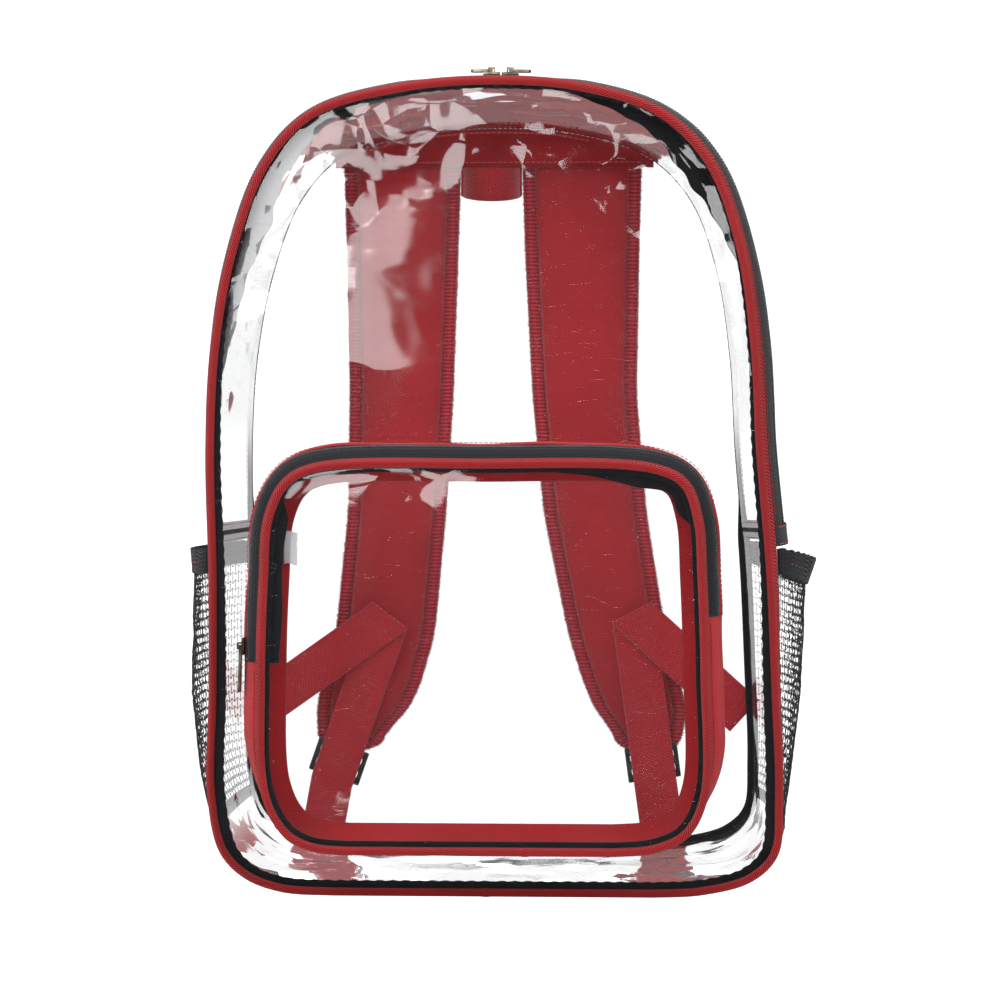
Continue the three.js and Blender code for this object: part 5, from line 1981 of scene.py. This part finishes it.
@dataclass
class Strap:
    """A padded shoulder strap with a brushed binding sewn round it."""

    layout: Layout
    palette: Palette
    side: Side
    width: float = 0.06
    thickness: float = 0.012
    bow: float = 0.02
    binding: float = 0.008
    binding_thickness: float = 0.0034
    pressure: float = 4.0
    cap: float = 0.0016
    rounds: int = 26
    batches: int = 40
    batch_size: int = 200
    softness: float = 0.018
    rows: Array = field(init=False)

    def __post_init__(self) -> None:
        """Reads the strap's own rows, from its foot up."""
        self.rows = np.array(STRAP_ROWS[self.side])[::-1]

    def build(self) -> None:
        """Makes the pad, its binding, the brushed fibres and the stitches."""
        self.pad()
        self.edge()

    def centre(self, up: Array) -> tuple[Array, Array, Array]:
        """The strap's middle at each height.

        Args:
            up: height as a share of the bag's height.

        Returns:
            Its middle points, half widths and thicknesses.
        """
        lay = self.layout
        around = [up + step * self.softness for step in (-1, -0.5, 0, 0.5, 1)]
        side, wide, bow, thick = (
            np.mean([column(self.rows, near, k) for near in around], axis=0) for k in range(1, 5)
        )
        thick = thick * self.thickness
        x = self.side.value * side * lay.width / 2
        y = lay.strap_plane + thick / 2 + bow * self.bow
        points = np.stack([x, y, up * lay.height], axis=-1) + np.array(lay.shift)
        return points, wide * self.width / 2, thick

    def pad(self) -> None:
        """The stuffed middle, blown up a little as cloth."""
        low, high = self.rows[0, 0] - 0.01, self.rows[-1, 0]

        def place(along: Array, girth: Array) -> Array:
            """A point of the piece."""
            up = low + (high - low) * along
            points, half, thick = self.centre(up)
            angle = 2 * math.pi * np.rint(girth * self.rounds) / self.rounds
            wide = np.sign(np.cos(angle)) * np.abs(np.cos(angle)) ** 0.55
            deep = np.sign(np.sin(angle)) * np.abs(np.sin(angle)) ** 0.6
            inner = half - self.binding * 0.9
            points[:, 0] += wide * inner
            points[:, 1] += deep * thick / 2 * 0.86
            return points

        length = (high - low) * self.layout.height
        bm = laid(84, self.rounds, place, (length, 2 * self.width))
        close_ends(bm)
        pad = finished(bm, f"shoulder_pad_{self.side.word}", self.palette.strap)
        self.blow_up(pad)
        smooth = pad.modifiers.new("smooth", "SUBSURF")
        smooth.levels = smooth.render_levels = 1
        seat(pad, "red_strap", f"shoulder_strap_{self.side.word}")

    def blow_up(self, pad: Piece) -> None:
        """Runs the pad as cloth under pressure and keeps the result in its mesh.

        Args:
            pad: the pad, whose mesh is changed.
        """
        scene = bpy.context.scene
        start = places_of(pad)
        edge = pad.vertex_groups.new(name="sewn")
        middle, half, _ = self.centre((start[:, 2] - self.layout.shift.z) / self.layout.height)
        aside = np.abs(start[:, 0] - middle[:, 0]) / np.maximum(half - self.binding * 0.9, 1e-4)
        for index, share in enumerate(aside):
            edge.add([index], float(smoothstep(0.86, 0.98, share)), "REPLACE")
        cloth = pad.modifiers.new("cloth", "CLOTH")
        cloth.settings.use_pressure = True
        cloth.settings.uniform_pressure_force = self.pressure
        cloth.settings.effector_weights.gravity = 0
        cloth.settings.vertex_group_mass = edge.name
        cloth.settings.tension_stiffness = 18
        cloth.settings.compression_stiffness = 18
        cloth.settings.bending_stiffness = 0.6
        cloth.point_cache.frame_start = 1
        cloth.point_cache.frame_end = 20
        for frame in range(1, 21):
            scene.frame_set(frame)
        shape = pad.evaluated_get(bpy.context.evaluated_depsgraph_get()).to_mesh()
        moved = np.array([v.co for v in shape.vertices]) - start
        reach = np.linalg.norm(moved, axis=1)
        share = np.minimum(1, self.cap / np.maximum(reach, TINY))
        pad.modifiers.remove(cloth)
        for vert, co in zip(pad.data.vertices, start + moved * share[:, None]):
            vert.co = co
        scene.frame_set(1)
        log.info("%s moved up to %.1f mm", pad.name, 1000 * float(reach.max()))

    def border(self, inset: float) -> tuple[Array, Array]:
        """A line along the strap's edge, down one side, round the foot and up the other.

        Args:
            inset: metres inside the outer edge.

        Returns:
            Its points and its directions away from the strap.
        """
        low, high = self.rows[0, 0], self.rows[-1, 0]
        ups = np.linspace(high, low, 90)
        points, half, _ = self.centre(ups)
        foot, foot_half, _ = self.centre(np.array([low]))
        drop = self.binding * 0.6
        parts, outs = [], []
        reach = (half - inset)[:, None] * np.array((1.0, 0, 0))
        parts.append(points - reach)
        outs.append(np.repeat([(-1.0, 0, 0)], len(ups), axis=0))
        angles = np.linspace(math.pi, 2 * math.pi, 18)[1:-1]
        wide = max(float(foot_half[0]) - inset, 0.001)
        deep = max(drop + self.binding * 0.4 - inset * 0.6, 0.0008)
        turned = np.stack([np.cos(angles), np.zeros(len(angles)), np.sin(angles)], axis=1)
        parts.append(foot[0] + turned * (wide, 0.0, deep))
        outs.append(turned)
        parts.append((points + reach)[::-1])
        outs.append(np.repeat([(1.0, 0, 0)], len(ups), axis=0))
        return np.vstack(parts), np.vstack(outs)

    def edge(self) -> None:
        """The flat binding sewn round the pad, its fibres and its stitches."""
        middle, outs = self.border(self.binding / 2)
        run = run_along(middle)
        half, thick = self.binding / 2, self.binding_thickness / 2
        shape = divided(
            rounded([(-half, -thick), (half, -thick), (half, thick), (-half, thick)], thick * 0.9, 4), 0.002
        )

        def place(along: Array, girth: Array) -> Array:
            """A point of the piece."""
            corner = round_girth(shape, girth)
            at = along * run[-1]
            points, away = (read_line(at, run, part) for part in (middle, outs))
            bumpy = 1 + 0.12 * np.sin(at / 0.0021) * np.sin(at / 0.0053 + 1)
            points += away * corner[:, :1]
            points[:, 1] += corner[:, 1] * bumpy
            return points

        bm = laid(300, len(shape) - 1, place, (float(run[-1]), 0.02))
        close_ends(bm)
        name, node = f"strap_edge_{self.side.word}", f"strap_binding_{self.side.word}"
        dressed(bm, name, self.palette.fluff, "red_strap", node)
        self.fibres(middle, outs, run)
        line, _ = self.border(self.binding * 0.82)
        rows = [line + np.array((0, y, 0)) for y in (-thick - THREAD_LIFT, thick + THREAD_LIFT)]
        name = f"strap_stitches_{self.side.word}"
        Stitching(0.0034, 0.0026, 0.00028).along(rows, name, self.palette.dark_thread, "red_strap")

    def fibres(self, middle: Array, outs: Array, run: Array) -> None:
        """Short brushed fibres that stand off the binding's edge.

        Args:
            middle: points of the binding.
            outs: its directions outwards.
            run: distance to each.
        """
        rng = np.random.default_rng(7 + self.side.value)
        bm = bmesh.new()
        batch = bpy.data.meshes.new("batch")
        for _ in range(self.batches):
            few = bmesh.new()
            for at in rng.uniform(0.004, run[-1] - 0.004, self.batch_size):
                point, away = (Vector(read_line(at, run, part)) for part in (middle, outs))
                deep = rng.uniform(-1, 1)
                reach = self.binding / 2 * (1 - 0.25 * deep * deep) - 0.0004
                root = point + away * reach + Vector((0, deep * self.binding_thickness / 2, 0))
                lean = Vector(rng.normal(0, 0.55, 3)) + away * 1.2 + Vector((0, deep, 0))
                length = rng.uniform(0.0007, 0.0019)
                turn = lean.to_track_quat("Z", "Y").to_matrix().to_4x4()
                tip = root + lean.normalized() * length / 2
                bmesh.ops.create_cone(
                    few,
                    cap_ends=True,
                    segments=3,
                    radius1=0.00014,
                    radius2=0.00005,
                    depth=length,
                    matrix=Matrix.Translation(tip) @ turn,
                )
            few.to_mesh(batch)
            few.free()
            bm.from_mesh(batch)
        bpy.data.meshes.remove(batch)
        bm.loops.layers.uv.new("weave")
        dressed(bm, f"strap_fibres_{self.side.word}", self.palette.fluff, "red_strap")


@dataclass
class Webbing:
    """The 25 mm webbing from the back seam up to its crease and down through the lock."""

    layout: Layout
    palette: Palette
    side: Side
    width: float = 0.025
    thickness: float = 0.0014
    bow: float = 0.02
    lock_height: float = 0.02

    def place(self, row: tuple) -> Vector:
        """The place of one row of the webbing's table."""
        side, up, bow = row
        lay = self.layout
        x = self.side.value * side * lay.width / 2
        return lay.world(x, lay.strap_plane + bow * self.bow, up * lay.height)

    def across(self, start: Vector, end: Vector) -> Vector:
        """Half the webbing's width, square to a run of it."""
        along = end - start
        return Vector((along.z, 0, -along.x)).normalized() * self.width / 2

    def build(self) -> None:
        """Makes the webbing and its lock."""
        seam, crease, lock, bend, end = (self.place(row) for row in WEB_ROWS[self.side])
        up, down = (b - a for a, b in ((seam, crease), (crease, lock)))
        up, down = (Vector((v.x, 0, v.z)).normalized() for v in (up, down))
        fold = (up + down).normalized()
        first = self.across(seam, crease)
        lean = abs(up.cross(fold).y)
        crossing = fold * self.width / 2 / lean
        if crossing.dot(first) < 0:
            crossing.negate()
        second = self.across(crease, lock)
        if second.dot(crossing) < 0:
            second.negate()
        thin = self.thickness / 2
        through = Vector((0, thin, 0))
        outside = Vector((-crossing.z, 0, crossing.x)).normalized()
        if outside.dot(up) < 0:
            outside.negate()
        apart = Vector((0, self.thickness + CLEARANCE, 0))
        leg = crease + apart
        reach = down * self.lock_height * 0.6
        sections = between(Section(seam, first, through), Section(crease, first, through), 40)
        bent = 0.7
        for k, section in enumerate(sections):
            t = max(0.0, (k / 40 - bent) / (1 - bent))
            section.across = first.lerp(crossing, t)
        for k in range(13):
            angle = math.pi * k / 12
            centre = crease + apart * 0.5 - apart * 0.5 * math.cos(angle)
            centre += outside * apart.length / 2 * math.sin(angle)
            turned = through * math.cos(angle) - outside * thin * math.sin(angle)
            sections.append(Section(centre, crossing, turned))
        back = -through
        marks = [
            Section(leg, crossing, back),
            Section(leg.lerp(lock, 0.35), second, back),
            Section(lock - reach, second, back),
            Section(lock + reach, second, back),
            Section(bend, second, back),
        ]
        for a, b in zip(marks[:-1], marks[1:]):
            sections += between(a, b, 16)
        tail_drop = Vector((0, 0, -thin))
        for k in range(25):
            t = k / 24
            ease = t * t * (3 - 2 * t)
            centre = bend.lerp(end, t)
            turned = (back * (1 - ease) + tail_drop * ease).normalized() * thin
            sections.append(Section(centre, second, turned))
        word = self.side.word
        ribbon(sections, f"web_{word}", self.palette.webbing, f"webbing_{word}")
        softened(f"ladder_lock_{word}", f"lock_{word}", self.palette.plastic, 0.0007)


# Studio


@dataclass
class Studio:
    """Camera, lights, floor and surroundings."""

    layout: Layout
    lens: float = 79.5
    sensor: float = 36.0
    distance: float = 1.15
    azimuth: float = 1.8
    pitch: float = 2.2
    aim: tuple[float, float] = (0.0042, 0.206)
    white: float = 1.3
    ambient: float = 0.55
    horizon: tuple[float, float] = (0.15, 0.5)
    reflected: float = 0.07
    backdrop: float = 1.05

    def build(self) -> None:
        """Makes the whole studio."""
        self.camera()
        self.lights()
        self.floor()
        self.surroundings()

    def camera(self) -> None:
        """The camera at the photograph's angle."""
        data = bpy.data.cameras.new("camera")
        data.lens, data.sensor_width = self.lens, self.sensor
        data.clip_start, data.clip_end = 0.05, 50
        camera = bpy.data.objects.new("camera", data)
        bpy.context.scene.collection.objects.link(camera)
        target = self.layout.world(self.aim[0], 0.0, self.aim[1])
        turn, tilt = math.radians(self.azimuth), math.radians(self.pitch)
        back = Vector((math.sin(turn), -math.cos(turn), math.tan(tilt))).normalized()
        camera.location = target + back * self.distance
        camera.rotation_euler = (-back).to_track_quat("-Z", "Y").to_euler()
        bpy.context.scene.camera = camera

    def lights(self) -> None:
        """Large softboxes in front, above and behind."""
        boxes = (
            ("key", (-0.85, -1.0, 0.95), 0.8, 0.9, 15.0),
            ("card", (-0.32, -1.35, 0.62), 0.28, 0.5, 3.0),
            ("slip", (0.3, -1.35, 0.8), 0.12, 0.5, 1.2),
            ("fill", (1.0, -0.95, 0.85), 0.6, 0.8, 10.0),
            ("top", (0.0, -0.45, 1.45), 1.2, 0.6, 15.0),
            ("behind", (0.0, 1.3, 0.9), 1.4, 1.0, 11.0),
        )
        middle = self.layout.world(0, self.layout.depth / 2, self.layout.height / 2)
        for name, place, wide, high, power in boxes:
            data = bpy.data.lights.new(name, "AREA")
            data.shape, data.size, data.size_y, data.energy = "RECTANGLE", wide, high, power
            lamp = bpy.data.objects.new(name, data)
            lamp.location = place
            lamp.rotation_euler = (middle - Vector(place)).to_track_quat("-Z", "Y").to_euler()
            bpy.context.scene.collection.objects.link(lamp)

    def floor(self) -> None:
        """A white floor that lights the bag from below and melts into the white room."""
        bm = bmesh.new()
        bmesh.ops.create_grid(bm, x_segments=1, y_segments=1, size=1.6)
        n = Nodes("Studio floor")
        place = n.add("TexCoord").outputs["Object"]
        tone = n.blend(n.noise(place, 3.0), (0.86, 0.86, 0.86), (0.9, 0.9, 0.9))
        shader = n.add("BsdfPrincipled", {"Base Color": tone, "Roughness": 0.9, "Specular IOR Level": 0.1})
        floor = finished(bm, "floor", n.end(shader.outputs[0]))
        floor.location.z = -0.0003
        floor.visible_camera = False
        floor.visible_glossy = False

    def surroundings(self) -> None:
        """A room that is white to the camera, pale as light and dark in reflections."""
        world = bpy.data.worlds.new("studio")
        world.use_nodes = True
        tree = world.node_tree
        tree.nodes.clear()
        path = tree.nodes.new("ShaderNodeLightPath")
        tones = {}
        for name, level in (("white", self.white), ("pale", self.ambient), ("dark", self.reflected)):
            tones[name] = tree.nodes.new("ShaderNodeBackground")
            tones[name].inputs["Color"].default_value = (1.0, 1.0, 1.0, 1.0)
            tones[name].inputs["Strength"].default_value = level
        aim = tree.nodes.new("ShaderNodeTexCoord")
        split = tree.nodes.new("ShaderNodeSeparateXYZ")
        level = tree.nodes.new("ShaderNodeMapRange")
        for index, value in enumerate((*self.horizon, self.reflected, self.backdrop), start=1):
            level.inputs[index].default_value = value
        inner, outer = (tree.nodes.new("ShaderNodeMixShader") for _ in range(2))
        out = tree.nodes.new("ShaderNodeOutputWorld")
        for start, end in (
            (aim.outputs["Generated"], split.inputs[0]),
            (split.outputs["Y"], level.inputs[0]),
            (level.outputs[0], tones["dark"].inputs["Strength"]),
            (path.outputs["Is Glossy Ray"], inner.inputs[0]),
            (tones["pale"].outputs[0], inner.inputs[1]),
            (tones["dark"].outputs[0], inner.inputs[2]),
            (path.outputs["Is Camera Ray"], outer.inputs[0]),
            (inner.outputs[0], outer.inputs[1]),
            (tones["white"].outputs[0], outer.inputs[2]),
            (outer.outputs[0], out.inputs["Surface"]),
        ):
            tree.links.new(start, end)
        bpy.context.scene.world = world
        bpy.context.scene.view_settings.view_transform = "Standard"


def main() -> None:
    """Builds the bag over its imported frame."""
    logging.basicConfig(level=logging.INFO, format="%(name)s: %(message)s")
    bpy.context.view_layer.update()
    layout = Layout()
    palette = Palette()
    Studio(layout).build()
    Compartment(layout, palette).build()
    FrontPocket(layout, palette).build()
    for side in Side:
        NetPocket(layout, palette, side).build()
    Carrier(layout, palette).build()
    bpy.context.view_layer.update()


if __name__ == "__main__":
    main()
